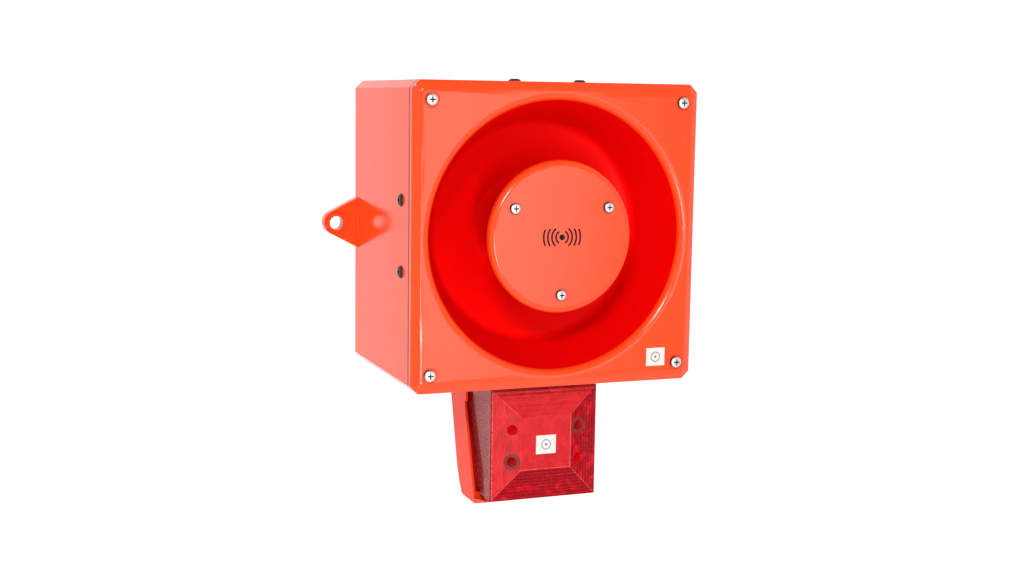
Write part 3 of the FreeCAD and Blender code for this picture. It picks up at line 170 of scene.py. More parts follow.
# the wells' red, also the colour of their painted glow standing in for light through the plastic
WELL_DARK = (0.50, 0.0040, 0.0060)
WELL_RED = (0.62, 0.0040, 0.0080)
WELL_GLOW = (0.36, 0.0015, 0.0030)
SEAL_DARK = (0.10, 0.020, 0.018)
SEAL_LIGHT = (0.17, 0.050, 0.045)
BLACK = (0, 0, 0)
PAPER_TONES = ((0.58, 0.54, 0.50), (0.64, 0.60, 0.56))
INK_TONES = ((0.10, 0.09, 0.09), (0.16, 0.15, 0.15))
ZINC_BRIGHT = (0.68, 0.66, 0.63)
# painted shade in the heads' recesses and at their lower edge
ZINC_RECESS_SHADE = (0.006, 0.005, 0.005)
ZINC_CLOUD = (0.78, 0.78, 0.78)
HEAD_NEAR = -182.0              # millimetres of depth between which the screw heads' tones are laid out
HEAD_FAR = -171.0
# painted shadow on the body beside its joint with the cover
SEAM_SHADE_DARK = (0.10, 0.010, 0.008)
SEAM_SHADE_RED = (0.14, 0.014, 0.010)
LINE_DEPTH = 0.5                # how much darker the lines round holes and screws are; round the disc's screws they are painted shade
HEAD_BANDS = ((-181.0, -179.5), (-175.6, -173.5))   # crown and recess floor of the disc's and cover's heads
RECESS_FADE = (0.55, 0.3)       # how far before the recess floor the bright tone ends and the painted shade starts
RECESS_REACH = 1.5              # how far behind the floor the painted shade goes on
NOISE_LOW = 0.3                 # a noise value mostly lies between these two
NOISE_HIGH = 0.7
SOFT_EDGE = 0.3 * MM
FLOW_REACH = 0.18               # how far from the middle of the noise the flow shading's tones lie
CLOUD_REACH = 0.2


# ---------------------------------------------------------------- node helpers
class Shader:
    """A material with a Principled shader and short ways to add nodes to it."""

    def __init__(self, name):
        self.material = bpy.data.materials.new(name)
        self.material.use_nodes = True
        self.tree = self.material.node_tree
        self.surface = self.tree.nodes["Principled BSDF"]
        self.place = self.add("ShaderNodeTexCoord").outputs["Object"]

    def add(self, kind, **settings):
        node = self.tree.nodes.new(kind)
        for key, value in settings.items():
            setattr(node, key, value)
        return node

    def link(self, source, target):
        self.tree.links.new(source, target)

    def set(self, **values):
        for key, value in values.items():
            self.surface.inputs[key.replace("_", " ")].default_value = value

    def noise(self, scale, detail=4.0, roughness=0.55, stretch=(1, 1, 1), distortion=0.0):
        """Noise value over the object, in features per metre."""
        mapping = self.add("ShaderNodeMapping")
        mapping.inputs["Scale"].default_value = stretch
        self.link(self.place, mapping.inputs["Vector"])
        node = self.add("ShaderNodeTexNoise")
        node.inputs["Scale"].default_value = scale
        node.inputs["Detail"].default_value = detail
        node.inputs["Roughness"].default_value = roughness
        node.inputs["Distortion"].default_value = distortion
        self.link(mapping.outputs["Vector"], node.inputs["Vector"])
        return node.outputs["Fac"]

    def remap(self, value, low, high, from_low=NOISE_LOW, from_high=NOISE_HIGH):
        """Value moved from one range to another and kept inside it."""
        node = self.add("ShaderNodeMapRange")
        node.inputs["From Min"].default_value = from_low
        node.inputs["From Max"].default_value = from_high
        node.inputs["To Min"].default_value = low
        node.inputs["To Max"].default_value = high
        self.link(value, node.inputs["Value"])
        return node.outputs["Result"]

    def ramp(self, value, stops):
        """Colour picked by a value from two or more (position, colour) stops."""
        node = self.add("ShaderNodeValToRGB")
        ramp = node.color_ramp
        ramp.elements[0].position = stops[0][0]
        ramp.elements[0].color = (*stops[0][1], 1)
        ramp.elements[1].position = stops[-1][0]
        ramp.elements[1].color = (*stops[-1][1], 1)
        for position, colour in stops[1:-1]:
            element = ramp.elements.new(position)
            element.color = (*colour, 1)
        self.link(value, node.inputs["Fac"])
        return node.outputs["Color"]

    def mottle(self, scale, first, second, **settings):
        """Patches of two colours that pass softly into each other."""
        return self.ramp(self.noise(scale, **settings), [(NOISE_LOW, first), (NOISE_HIGH, second)])

    def tones(self, value, colours, reach):
        """A darker, middle and lighter colour laid out round the middle of a noise value."""
        darker, middle, lighter = colours
        return self.ramp(value, [(0.5 - reach, darker), (0.5, middle), (0.5 + reach, lighter)])

    def bump(self, height, distance, strength, normal=None):
        node = self.add("ShaderNodeBump")
        node.inputs["Strength"].default_value = strength
        node.inputs["Distance"].default_value = distance
        self.link(height, node.inputs["Height"])
        if normal is not None:
            self.link(normal, node.inputs["Normal"])
        return node.outputs["Normal"]

    def math(self, operation, first, second=None):
        """One arithmetic node; each operand is a socket or a number."""
        node = self.add("ShaderNodeMath", operation=operation)
        for index, operand in enumerate((first, second)):
            if isinstance(operand, (int, float)):
                node.inputs[index].default_value = operand
            elif operand is not None:
                self.link(operand, node.inputs[index])
        return node.outputs[0]

    def blend(self, share, under, over):
        """Colour that goes from under to over as share goes from 0 to 1."""
        node = self.add("ShaderNodeMix", data_type="RGBA")
        self.link(share, node.inputs[0])
        self.link(under, node.inputs[6])
        self.link(over, node.inputs[7])
        return node.outputs[2]

    def tint(self, colour, shade):
        """A colour darkened by another one."""
        node = self.add("ShaderNodeMix", data_type="RGBA", blend_type="MULTIPLY")
        node.inputs[0].default_value = 1.0
        self.link(colour, node.inputs[6])
        self.link(shade, node.inputs[7])
        return node.outputs[2]

    def lighten(self, colour, light):
        """A colour with another one added to it."""
        node = self.add("ShaderNodeMix", data_type="RGBA", blend_type="ADD")
        node.inputs[0].default_value = 1.0
        self.link(colour, node.inputs[6])
        self.link(light, node.inputs[7])
        return node.outputs[2]

    def axes(self):
        """X, Y and Z of the place on the object."""
        node = self.add("ShaderNodeSeparateXYZ")
        self.link(self.place, node.inputs[0])
        return node.outputs

    def ring(self, x, z, inner, outer):
        """1 between two radii round a line along Y, 0 elsewhere, with soft edges."""
        across, _, up = self.axes()
        square_x = self.math("POWER", self.math("SUBTRACT", across, x), 2.0)
        square_z = self.math("POWER", self.math("SUBTRACT", up, z), 2.0)
        radius = self.math("SQRT", self.math("ADD", square_x, square_z))
        inside = self.remap(radius, 1.0, 0.0, outer - SOFT_EDGE, outer + SOFT_EDGE)
        outside = self.remap(radius, 0.0, 1.0, inner - SOFT_EDGE, inner + SOFT_EDGE)
        return self.math("MULTIPLY", inside, outside)

    def colour(self, source):
        self.link(source, self.surface.inputs["Base Color"])

    def rough(self, source):
        self.link(source, self.surface.inputs["Roughness"])

    def normal(self, source):
        self.link(source, self.surface.inputs["Normal"])

    # emission; on the lens and its wells it is a painted glow, not a lamp
    def glow(self, source, strength):
        self.link(source, self.surface.inputs["Emission Color"])
        self.set(Emission_Strength=strength)


def shades(colour, spread):
    """Darker, middle and lighter versions of a colour."""
    darker = tuple(c * (1 - spread) for c in colour)
    lighter = tuple(min(1.0, c * (1 + spread)) for c in colour)
    return darker, colour, lighter


def moulded(name, colour, roughness, spread=0.05, peel=0.00004, specular=0.5, lines=(), seam=None):
    """Moulded plastic: faint flow shading, a fine peel, patchy gloss and darker lines round its holes, which
    round the disc's screws are painted shade.

    With a seam, it also has a painted shadow up to a little behind that depth.
    """
    s = Shader(name)
    flow = s.noise(9.0, detail=3.0, stretch=(1, 0.5, 1.6), distortion=0.6)
    flow_ends = (0.5 - FLOW_REACH, 0.5 + FLOW_REACH)
    tone = s.tones(flow, shades(colour, spread), FLOW_REACH)
    # darker rings round holes; those round the disc's screws are painted shade
    if lines:
        line_tones = (shades(colour, LINE_DEPTH)[0], shades(colour, LINE_DEPTH * 0.8)[0])
        dark = s.ramp(flow, list(zip(flow_ends, line_tones)))
    for x, z, inner, outer in lines:
        tone = s.blend(s.ring(x, z, inner, outer), tone, dark)
    # painted shadow on the body beside the cover's joint
    if seam:
        beside = s.remap(s.axes()[1], 1.0, 0.0, seam + SEAM_WIDTH, seam + SEAM_WIDTH + SEAM_FADE)
        tone = s.blend(beside, tone, s.ramp(flow, list(zip(flow_ends, (SEAM_SHADE_DARK, SEAM_SHADE_RED)))))
    s.colour(tone)
    s.rough(s.remap(s.noise(55.0, detail=6.0), roughness * 0.88, roughness * 1.15))
    waves = s.bump(s.noise(130.0, detail=2.0), peel * 1.6, 0.5)
    s.normal(s.bump(s.noise(1400.0, detail=3.0), peel, 0.55, waves))
    s.set(Specular_IOR_Level=specular)
    return s.material


def plated(name, colour, roughness, spread=0.08, metallic=1.0):
    """Plated metal with drawn marks and cloudy patches."""
    s = Shader(name)
    s.colour(s.tones(s.noise(420.0, detail=4.0), shades(colour, spread), CLOUD_REACH))
    s.rough(s.remap(s.noise(900.0, detail=5.0, stretch=(1, 6, 1)), roughness * 0.75, roughness * 1.3))
    s.normal(s.bump(s.noise(3500.0, detail=2.0, stretch=(1, 5, 1)), 0.00001, 0.5))
    s.set(Metallic=metallic)
    return s.material


def dull(name, colour, roughness, grain=2200.0, spread=0.15, specular=0.5):
    """Rubber, paper and other dull surfaces, with a fine grain."""
    s = Shader(name)
    s.colour(s.tones(s.noise(300.0, detail=5.0), shades(colour, spread), CLOUD_REACH))
    s.rough(s.remap(s.noise(700.0), roughness * 0.9, min(1.0, roughness * 1.1)))
    s.normal(s.bump(s.noise(grain, detail=3.0), 0.00003, 0.7))
    s.set(Specular_IOR_Level=specular)
    return s.material


# ---------------------------------------------------------------- finishes, one per material slot
def glass_clear(name, tint):
    """Clear glass with a faint tint and slightly uneven faces."""
    s = Shader(name)
    s.colour(s.mottle(200.0, tuple(c * 0.97 for c in tint), tint))
    s.rough(s.remap(s.noise(600.0), 0.01, 0.05))
    s.normal(s.bump(s.noise(500.0), 0.00001, 0.4))
    s.set(Transmission_Weight=1.0, IOR=1.47)
    return s.material


def lens_plastic():
    """Deep red plastic with painted shade and painted glow on its right and lower facets, painted highlights
    on its ridges and a painted dark rim.

    The dull seals show through round two of its wells, and the wells have a painted red glow.
    """
    s = Shader("lens_plastic")
    haze = s.tones(s.noise(110.0, detail=5.0, distortion=0.8), (LENS_DARK, LENS_RED, LENS_BRIGHT), FLOW_REACH)

    # level goes from 0 at the lens's rim to 1 at the raised square, whichever facet it is on
    across, depth, up = s.axes()
    width = s.math("ABSOLUTE", across)
    inset_x = s.math("SUBTRACT", LENS_X, width)
    above = s.math("SUBTRACT", LENS_TOP, up)
    below = s.math("SUBTRACT", up, LENS_BOTTOM)
    share_x = s.math("DIVIDE", inset_x, LENS_X - PYRAMID_HALF)
    share_top = s.math("DIVIDE", above, LENS_TOP - PYRAMID_Z[1])
    share_bottom = s.math("DIVIDE", below, PYRAMID_Z[0] - LENS_BOTTOM)
    share_z = s.math("MINIMUM", share_top, share_bottom)
    level = s.math("MINIMUM", share_x, share_z)

    # masks of the raised square and of the right and lower facets, with painted shade bands and painted glow
    # on those facets
    flat = s.remap(level, 0.0, 1.0, 0.99, 1.01)
    sloping = s.math("SUBTRACT", 1.0, flat)
    upright = s.remap(s.math("SUBTRACT", share_z, share_x), 0.0, 1.0, -0.01, 0.01)
    right = s.math("MULTIPLY", upright, s.remap(across, 0.0, 1.0, -MM, MM))
    low = s.remap(up, 1.0, 0.0, PYRAMID_MIDDLE - MM, PYRAMID_MIDDLE + MM)
    bottom = s.math("MULTIPLY", s.math("SUBTRACT", 1.0, upright), low)
    shaded_facets = s.math("MAXIMUM", right, bottom)
    far = s.math("MULTIPLY", shaded_facets, sloping)
    bands = s.math("SINE", s.math("MULTIPLY", level, 2 * math.pi * FACET_BANDS))
    facet_shade = s.ramp(s.remap(bands, 0.0, 1.0, -1.0, 1.0), [(0.1, LENS_SHADE_DEEP), (0.95, LENS_SHADED)])
    # painted glow lightening the shaded facets
    glow = s.ramp(s.remap(s.noise(160.0, detail=3.0), 0.0, 1.0), [(0.5, BLACK), (1.0, LENS_PAINTED_GLOW)])
    tone = s.blend(far, haze, s.lighten(facet_shade, glow))

    # painted highlights on the ridges, along the facets' diagonals and beside the raised square
    front = s.remap(depth, 1.0, 0.0, LENS_RIM_REAR - 0.1 * MM, LENS_RIM_REAR + 0.1 * MM)
    corner = s.math("ABSOLUTE", s.math("SUBTRACT", share_z, share_x))
    corner_line = s.remap(corner, 1.0, 0.0, RIDGE_SHARE * 0.5, RIDGE_SHARE)
    diagonal = s.math("MULTIPLY", corner_line, sloping)
    to_square = s.math("ABSOLUTE", s.math("SUBTRACT", level, 1.0))
    square_line = s.remap(to_square, 1.0, 0.0, RIDGE_SHARE * 0.5, RIDGE_SHARE)
    lines = s.math("MAXIMUM", diagonal, s.math("MULTIPLY", square_line, shaded_facets))
    ridge_highlight = s.math("MULTIPLY", s.math("MULTIPLY", front, lines), RIDGE_HIGHLIGHT_STRENGTH)
    tone = s.blend(ridge_highlight, tone, s.mottle(700.0, LENS_BRIGHT, LENS_RIDGE_HIGHLIGHT))

    # painted shade on the front rim, twice as wide at the top, a painted highlight beside it on the left, and
    # the duller flanks
    edge = s.math("MINIMUM", inset_x, s.math("MINIMUM", s.math("MULTIPLY", above, 0.5), below))
    rim = s.math("MULTIPLY", front, s.remap(edge, 1.0, 0.0, LENS_RIM * 0.8, LENS_RIM))
    tone = s.blend(rim, tone, s.mottle(300.0, LENS_RIM_SHADE, LENS_SHADE_DEEP))
    left = s.math("MULTIPLY", front, s.remap(across, 1.0, 0.0, LENS_LEFT_EDGE, LENS_LEFT_EDGE + 0.2 * MM))
    past_rim = s.remap(inset_x, 0.0, GLINT_STRENGTH, LENS_RIM - 0.1 * MM, LENS_RIM + 0.1 * MM)
    glint = s.math("MULTIPLY", left, past_rim)
    tone = s.blend(glint, tone, s.ramp(s.noise(900.0), [(0.4, LENS_BRIGHT), (0.6, LENS_RIDGE_HIGHLIGHT)]))
    side = s.remap(inset_x, 1.0, 0.0, LENS_FLANK_EDGE[0], LENS_FLANK_EDGE[1])
    flank = s.math("MULTIPLY", s.math("SUBTRACT", 1.0, front), side)
    tone = s.blend(flank, tone, s.mottle(90.0, LENS_FLANK, LENS_FLANK_DARK))

    # dark band on the skirt behind: partly the skirt's own darker red, partly painted shade in the gap beside
    # the housing
    back = s.remap(depth, 0.0, 1.0, SKIRT_FRONT - MM, SKIRT_FRONT)
    inside = s.remap(inset_x, 0.0, 1.0, LENS_SKIRT[0], LENS_SKIRT[0] + 0.2 * MM)
    outside = s.remap(inset_x, 1.0, 0.0, LENS_SKIRT[1] - 0.2 * MM, LENS_SKIRT[1])
    skirt = s.math("MULTIPLY", back, s.math("MULTIPLY", inside, outside))
    tone = s.blend(skirt, tone, s.mottle(120.0, LENS_BAND, LENS_SHADED))

    # painted red glow in the wells, standing in for light through the plastic, and the seals round two of
    # them
    discs = [s.ring(x, z, -MM, WELL_R + 0.2 * MM) for x, z in WELLS]
    wells = discs[0]
    for disc in discs[1:]:
        wells = s.math("MAXIMUM", wells, disc)
    red = s.mottle(400.0, WELL_DARK, WELL_RED)
    tone = s.blend(wells, tone, red)
    s.glow(s.tint(red, wells), 0.35)
    seal = s.mottle(500.0, SEAL_DARK, SEAL_LIGHT)
    for x, z in SEALED_WELLS:
        tone = s.blend(s.ring(x, z, WELL_R, SEAL_R), tone, seal)
    s.colour(tone)
    s.rough(s.remap(s.noise(400.0, detail=5.0), 0.22, 0.34))
    s.normal(s.bump(s.noise(900.0, detail=2.0), 0.00003, 0.15))
    s.set(IOR=1.36, Specular_IOR_Level=0.16)
    s.set(Subsurface_Weight=0.6, Subsurface_Radius=(1.0, 0.05, 0.08), Subsurface_Scale=0.004)
    return s.material


def well_plastic():
    """Screw wells of the lens, with a painted red glow standing in for light through the plastic round them.
    """
    s = Shader("lens_screws")
    s.colour(s.mottle(900.0, WELL_DARK, WELL_RED))
    s.rough(s.remap(s.noise(1200.0), 0.35, 0.55))
    s.normal(s.bump(s.noise(2500.0), 0.00002, 0.5))
    s.glow(s.mottle(300.0, WELL_GLOW, WELL_RED), 0.5)
    s.set(Specular_IOR_Level=0.2)
    return s.material


def printed_label():
    """Off-white film with a plain grey ring and dot, the same on both labels."""
    s = Shader("label_paper")
    paper = s.mottle(300.0, *PAPER_TONES, detail=5.0)
    ink = s.mottle(500.0, *INK_TONES)
    for x, z in (FACE_LABEL, LENS_LABEL):
        paper = s.blend(s.ring(x, z, *LABEL_RING), paper, ink)
        paper = s.blend(s.ring(x, z, -MM, LABEL_DOT), paper, ink)
    s.colour(paper)
    s.rough(s.remap(s.noise(700.0), 0.5, 0.66))
    s.normal(s.bump(s.noise(2200.0, detail=3.0), 0.00003, 0.7))
    return s.material


def zinc_screws():
    """Plated heads with painted shade in their cross recess and at their lower edge."""
    s = Shader("zinc_screws")
    depth = s.axes()[1]
    share = s.remap(depth, 0.0, 1.0, HEAD_NEAR * MM, HEAD_FAR * MM)
    stops = []
    # painted shade from each recess floor backwards
    for crown, floor in HEAD_BANDS:
        bright_end = floor - RECESS_FADE[0]
        dark_start = floor - RECESS_FADE[1]
        dark_end = floor + RECESS_REACH
        for place, tone in zip((crown, bright_end, dark_start, dark_end),
                               (ZINC_BRIGHT, ZINC_BRIGHT, ZINC_RECESS_SHADE, ZINC_RECESS_SHADE)):
            stops.append(((place - HEAD_NEAR) / (HEAD_FAR - HEAD_NEAR), tone))
    cloud = s.mottle(900.0, ZINC_CLOUD, (1.0, 1.0, 1.0), detail=4.0)
    s.colour(s.tint(s.ramp(share, stops), cloud))
    s.rough(s.remap(s.noise(1500.0, detail=4.0), 0.30, 0.46))
    s.normal(s.bump(s.noise(3000.0), 0.00001, 0.5))
    s.set(Metallic=0.8)
    return s.material


FINISHES = {
    "case_plastic": moulded("case_plastic", ORANGE_SIDE, 0.12, spread=0.02, specular=0.18,
                            lines=LUG_LINES, seam=BODY_FRONT),
    "cover_plastic": moulded("cover_plastic", ORANGE_FACE, 0.18, spread=0.02, specular=0.42),
    "bowl_plastic": moulded("bowl_plastic", BOWL_RED, 0.42, specular=0.05, spread=0.02),
    "disc_plastic": moulded("disc_plastic", ORANGE_FACE, 0.16, spread=0.02, specular=0.42, lines=DISC_SHADE_LINES),
    "housing_plastic": moulded("housing_plastic", HOUSING_ORANGE, 0.22, spread=0.02, specular=0.07),
    "lens_plastic": lens_plastic(),
    "black_rubber": dull("black_rubber", (0.012, 0.010, 0.010), 0.75),
    "ring_rubber": dull("ring_rubber", (0.060, 0.035, 0.035), 0.7),
    "black_screws": plated("black_screws", (0.014, 0.012, 0.012), 0.38, metallic=0.3),
    "zinc_screws": zinc_screws(),
    "zinc_hardware": plated("zinc_hardware", (0.62, 0.63, 0.64), 0.32),
    "lens_screws": well_plastic(),
    "black_plastic": moulded("black_plastic", (0.02, 0.02, 0.02), 0.5, spread=0.2),
    "cast_aluminium": plated("cast_aluminium", (0.60, 0.61, 0.62), 0.42),
    "diaphragm_film": moulded("diaphragm_film", (0.40, 0.22, 0.07), 0.35, spread=0.15),
    "copper_wire": plated("copper_wire", (0.72, 0.30, 0.12), 0.35),
    "plated_steel": plated("plated_steel", (0.66, 0.66, 0.64), 0.35),
    "ferrite": dull("ferrite", (0.05, 0.05, 0.055), 0.55),
    "circuit_board": moulded("circuit_board", (0.015, 0.12, 0.04), 0.4, spread=0.2),
    "brass_parts": plated("brass_parts", (0.75, 0.55, 0.22), 0.3),
    "terminal_plastic": moulded("terminal_plastic", (0.04, 0.24, 0.08), 0.5),
    "laminated_steel": plated("laminated_steel", (0.10, 0.10, 0.11), 0.5, metallic=0.7),
    "winding_tape": dull("winding_tape", (0.72, 0.52, 0.08), 0.5),
    "capacitor_sleeve": moulded("capacitor_sleeve", (0.02, 0.03, 0.10), 0.3),
    "black_aluminium": plated("black_aluminium", (0.03, 0.03, 0.03), 0.45, metallic=0.8),
    "component_black": moulded("component_black", (0.02, 0.02, 0.022), 0.5, spread=0.2),
    "fuse_glass": glass_clear("fuse_glass", (0.9, 0.93, 0.93)),
    "switch_blue": moulded("switch_blue", (0.02, 0.08, 0.42), 0.45),
    "slider_white": moulded("slider_white", (0.82, 0.82, 0.78), 0.45),
    "shaft_plastic": moulded("shaft_plastic", (0.78, 0.78, 0.72), 0.45),
    "reflector_chrome": plated("reflector_chrome", (0.86, 0.86, 0.87), 0.12),
    "tube_glass": glass_clear("tube_glass", (0.95, 0.96, 0.97)),
    "label_paper": printed_label(),
    "mark_film": dull("mark_film", (0.006, 0.006, 0.009), 0.5, specular=0.12),
}
NODE_FINISHES = {"strobe_seal": dull("seal_silicone", (0.26, 0.0015, 0.0020), 0.6, specular=0.1)}


def round_edges(node, width):
    """Soften a node's square edges without changing its mesh."""
    weld = node.modifiers.new("weld", "WELD")
    weld.merge_threshold = WELD_DISTANCE
    bevel = node.modifiers.new("round", "BEVEL")
    bevel.width = width
    bevel.segments = ROUND_SEGMENTS
    bevel.limit_method = "ANGLE"
    bevel.angle_limit = ROUND_ANGLE
    bevel.use_clamp_overlap = True
    level = node.modifiers.new("level", "WEIGHTED_NORMAL")
    level.weight = 100
    level.keep_sharp = True


def finish_cad_nodes():
    """Give every CAD node its slot's finish and smooth shading across its curved faces."""
    slots = {part["node"]: part["material_slot"] for part in frame["record"]["subparts"]}
    for name, node in frame["nodes"].items():
        node.data.materials.clear()
        node.data.materials.append(NODE_FINISHES.get(name, FINISHES[slots[name]]))
        node.data.set_sharp_from_angle(angle=NODE_SHARP)
        if name in ROUNDED_NODES:
            round_edges(node, ROUNDED_NODES[name])


# ---------------------------------------------------------------- pieces shaped here
def new_piece(name, body, slot, mesh, *replaced):
    """Object for a mesh that stands for CAD nodes and moves with a body."""
    mesh.materials.clear()
    mesh.materials.append(FINISHES[slot])
    made = bpy.data.objects.new(name, mesh)
    bpy.context.scene.collection.objects.link(made)
    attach(made, body)
    if replaced:
        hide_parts(*replaced)
    return made


def mesh_from(name, work):
    """Mesh from a working one, with its faces turned outwards."""
    bmesh.ops.recalc_face_normals(work, faces=work.faces)
    mesh = bpy.data.meshes.new(name)
    work.to_mesh(mesh)
    work.free()
    return mesh


def rounded(corners, steps):
    """Closed (r, y) outline with each corner (r, y, round) drawn as a fine arc."""
    outline = []
    count = len(corners)
    for index, (r, y, radius) in enumerate(corners):
        here = Vector((r, y))
        if radius == 0:
            outline.append(here)
            continue
        before = (Vector(corners[index - 1][:2]) - here).normalized()
        after = (Vector(corners[(index + 1) % count][:2]) - here).normalized()
        half = before.angle(after) / 2
        centre = here + (before + after).normalized() * (radius / math.sin(half))
        start = here + before * (radius / math.tan(half)) - centre
        end = here + after * (radius / math.tan(half)) - centre
        sweep = start.angle(end)
        for step in range(steps + 1):
            share = step / steps
            spoke = (start * math.sin((1 - share) * sweep) + end * math.sin(share * sweep)) / math.sin(sweep)
            outline.append(centre + spoke)
    return outline


def lathe(name, outline, segments):
    """Closed ring-shaped mesh: an outline of (r, y) points in millimetres turned about the horn's axis."""
    work = bmesh.new()
    rings = []
    for r, y in outline:
        ring = []
        for index in range(segments):
            angle = 2 * math.pi * index / segments
            ring.append(work.verts.new((r * MM * math.cos(angle), y * MM, r * MM * math.sin(angle))))
        rings.append(ring)
    for first, second in zip(rings, rings[1:] + rings[:1]):
        for index in range(segments):
            after = (index + 1) % segments
            work.faces.new((first[index], first[after], second[after], second[index]))
    mesh = mesh_from(name, work)
    mesh.shade_smooth()
    mesh.set_sharp_from_angle(angle=LATHE_SHARP)
    return mesh


def bowl_piece():
    """The red flare, turned finely so that its side and floor shade without facets."""
    outline = rounded(BOWL_OUTLINE, BOWL_ARC_STEPS)
    new_piece("flare", "cover", "bowl_plastic", lathe("flare", outline, BOWL_SEGMENTS), "horn_bowl")


def wedge_rows(work, low_z, high_z, side):
    """Thin cutters that groove one side of the lens, each running from front to back."""
    count = int((high_z - low_z) / RIB_PITCH)
    outer = side * (LENS_X + RIB_DEPTH)
    inner = side * (LENS_X - RIB_DEPTH)
    for index in range(count):
        middle = low_z + (index + 0.5) * RIB_PITCH
        corners = ((outer, middle - 2 * RIB_HALF), (outer, middle + 2 * RIB_HALF), (inner, middle))
        near = [work.verts.new((x, RIB_FRONT, z)) for x, z in corners]
        far = [work.verts.new((x, RIB_REAR, z)) for x, z in corners]
        work.faces.new(near)
        work.faces.new(far[::-1])
        for step in range(3):
            after = (step + 1) % 3
            work.faces.new((near[step], far[step], far[after], near[after]))


def facet_rows(work, count):
    """Grooves round the lens's front, square inside square, following its four sloping facets."""
    pitch = (FACET_SPAN[1] - FACET_SPAN[0]) / count
    step = pitch * FACET_HALF_SHARE
    for index in range(count):
        share = FACET_SPAN[0] + pitch * (index + 0.5)
        loops = []
        for place, lift in ((share - step, 1.0), (share + step, 1.0), (share, -1.0)):
            half_x = LENS_X - FACET_FOOT + (PYRAMID_HALF - LENS_X + FACET_FOOT) * place
            low = LENS_BOTTOM + FACET_FOOT + (PYRAMID_Z[0] - LENS_BOTTOM - FACET_FOOT) * place
            high = LENS_TOP - FACET_FOOT + (PYRAMID_Z[1] - LENS_TOP + FACET_FOOT) * place
            depth = LENS_FRONT + (PYRAMID_FRONT - LENS_FRONT) * place - lift * FACET_DEPTH
            corners = ((-half_x, low), (half_x, low), (half_x, high), (-half_x, high))
            loops.append([work.verts.new((x, depth, z)) for x, z in corners])
        for first, second in zip(loops, loops[1:] + loops[:1]):
            for corner in range(4):
                after = (corner + 1) % 4
                work.faces.new((first[corner], first[after], second[after], second[corner]))


def carved(name, node, cutter_mesh):
    """Copy of a CAD node's mesh with a cutter taken out of it."""
    work = bmesh.new()
    work.from_mesh(frame["nodes"][node].data)
    bmesh.ops.remove_doubles(work, verts=work.verts, dist=CARVE_WELD)
    bmesh.ops.dissolve_limit(work, angle_limit=CARVE_FLAT, verts=work.verts, edges=work.edges)
    stock = bpy.data.objects.new(name + "_stock", mesh_from(name + "_stock", work))
    cutter = bpy.data.objects.new(name + "_cutter", cutter_mesh)
    for made in (stock, cutter):
        bpy.context.scene.collection.objects.link(made)
    cut = stock.modifiers.new("cut", "BOOLEAN")
    cut.operation = "DIFFERENCE"
    cut.solver = "EXACT"
    cut.object = cutter
    bpy.context.view_layer.update()
    mesh = bpy.data.meshes.new_from_object(stock.evaluated_get(bpy.context.evaluated_depsgraph_get()))
    for made in (stock, cutter):
        bpy.data.objects.remove(made)
    mesh.name = name
    return mesh


def lens_piece():
    """The lens with fine ribs on its flanks and round its four front facets."""
    work = bmesh.new()
    for side in (-1, 1):
        wedge_rows(work, LENS_BOTTOM + RIB_MARGIN, LENS_TOP - RIB_MARGIN, side)
    facet_rows(work, FACET_GROOVES)
    mesh = carved("ribbed_lens", "strobe_lens", mesh_from("lens_cutters", work))
    mesh.shade_smooth()
    mesh.set_sharp_from_angle(angle=LENS_SHARP)
    new_piece("ribbed_lens", "lens", "lens_plastic", mesh, "strobe_lens")


def prism(work, outline):
    """Thin plate between the mark's two faces, with an outline of (x, z) points."""
    front, back = ([work.verts.new((x, depth, z)) for x, z in outline] for depth in MARK_FACES)
    work.faces.new(front)
    work.faces.new(back[::-1])
    for index in range(len(outline)):
        after = (index + 1) % len(outline)
        work.faces.new((front[index], back[index], back[after], front[after]))


def arc(radius, start, end, steps):
    """Points (x, z) on an arc round the horn's axis, angles in degrees."""
    points = []
    for index in range(steps + 1):
        angle = math.radians(start + (end - start) * index / steps)
        points.append((radius * math.cos(angle), radius * math.sin(angle)))
    return points


def mark_piece():
    """A dot with plain sound waves spreading to its left and right, printed on the disc."""
    work = bmesh.new()
    prism(work, arc(MARK_DOT, 0, 355, DOT_STEPS))
    for radius, half in MARK_WAVES:
        for middle in (0, 180):
            outer = arc(radius + MARK_LINE, middle - half, middle + half, WAVE_STEPS)
            inner = arc(radius, middle + half, middle - half, WAVE_STEPS)
            prism(work, outer + inner)
    new_piece("sound_mark", "cover", "mark_film", mesh_from("sound_mark", work), "disc_mark")


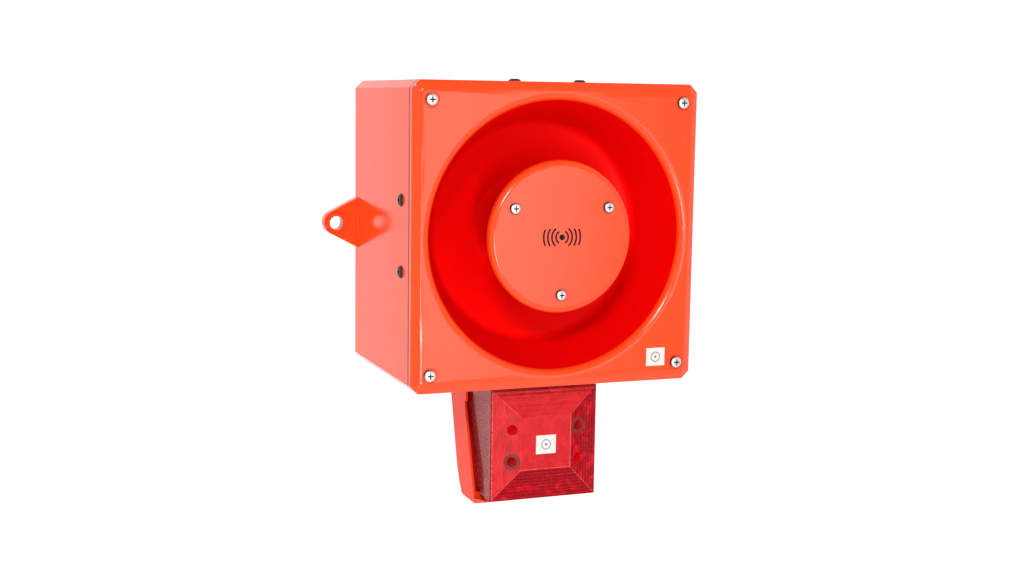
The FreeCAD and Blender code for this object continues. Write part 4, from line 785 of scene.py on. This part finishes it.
# ---------------------------------------------------------------- stage, light and camera
def add_stage():
    """A round pale floor whose rim rises into a wall all round, softly lit from within, less so in front."""
    s = Shader("pale_floor")
    s.colour(s.mottle(3.0, *STAGE_TONES))
    s.set(Roughness=0.9)
    s.surface.inputs["Emission Color"].default_value = (1, 1, 1, 1)
    glow = s.remap(s.axes()[1], STAGE_GLOW[0], STAGE_GLOW[1], STAGE_FADE[0], STAGE_FADE[1])
    s.link(glow, s.surface.inputs["Emission Strength"])
    profile = []
    for step in range(STAGE_STEPS + 1):
        angle = math.radians(90 * step / STAGE_STEPS)
        profile.append((STAGE_R - STAGE_BEND + STAGE_BEND * math.sin(angle),
                        STAGE_FLOOR + STAGE_BEND - STAGE_BEND * math.cos(angle)))
    profile.append((STAGE_R, STAGE_TOP))
    work = bmesh.new()
    rows = []
    for radius, z in profile:
        turns = [2 * math.pi * index / STAGE_SIDES for index in range(STAGE_SIDES)]
        rows.append([work.verts.new((radius * math.cos(turn), radius * math.sin(turn), z)) for turn in turns])
    work.faces.new(rows[0])
    for first, second in zip(rows, rows[1:]):
        for index in range(STAGE_SIDES):
            after = (index + 1) % STAGE_SIDES
            work.faces.new((first[index], first[after], second[after], second[index]))
    mesh = mesh_from("floor", work)
    mesh.materials.append(s.material)
    mesh.shade_smooth()
    floor = bpy.data.objects.new("floor", mesh)
    bpy.context.scene.collection.objects.link(floor)


def add_light(name, place, size, power, shape):
    """Soft lamp that faces the object."""
    data = bpy.data.lights.new(name, "AREA")
    data.shape = shape
    data.size, data.size_y = size
    data.energy = power
    lamp = bpy.data.objects.new(name, data)
    lamp.location = place
    lamp.rotation_euler = (SUBJECT - Vector(place)).to_track_quat("-Z", "Y").to_euler()
    bpy.context.scene.collection.objects.link(lamp)


def add_world(strength):
    """Even white light from everywhere."""
    world = bpy.data.worlds.new("studio")
    bpy.context.scene.world = world
    world.use_nodes = True
    background = world.node_tree.nodes["Background"]
    background.inputs["Color"].default_value = (1, 1, 1, 1)
    background.inputs["Strength"].default_value = strength


def add_camera():
    """Camera at the photograph's viewing angle."""
    data = bpy.data.cameras.new("camera")
    data.sensor_width = SENSOR
    data.lens = CAMERA_LENS
    data.clip_end = CAMERA_REACH
    camera = bpy.data.objects.new("camera", data)
    bpy.context.scene.collection.objects.link(camera)
    upright = Matrix.Rotation(math.radians(90), 3, "X")
    turn = Matrix.Rotation(CAMERA_YAW, 3, "Z")
    tilt = Matrix.Rotation(-CAMERA_PITCH, 3, "X")
    roll = Matrix.Rotation(CAMERA_ROLL, 3, "Z")
    camera.matrix_world = Matrix.Translation(CAMERA_PLACE) @ (turn @ upright @ tilt @ roll).to_4x4()
    bpy.context.scene.camera = camera


finish_cad_nodes()
bowl_piece()
lens_piece()
mark_piece()
add_stage()
add_world(AMBIENT)
for light in LIGHTS:
    add_light(*light)
add_camera()
bpy.context.scene.view_settings.view_transform = "Standard"
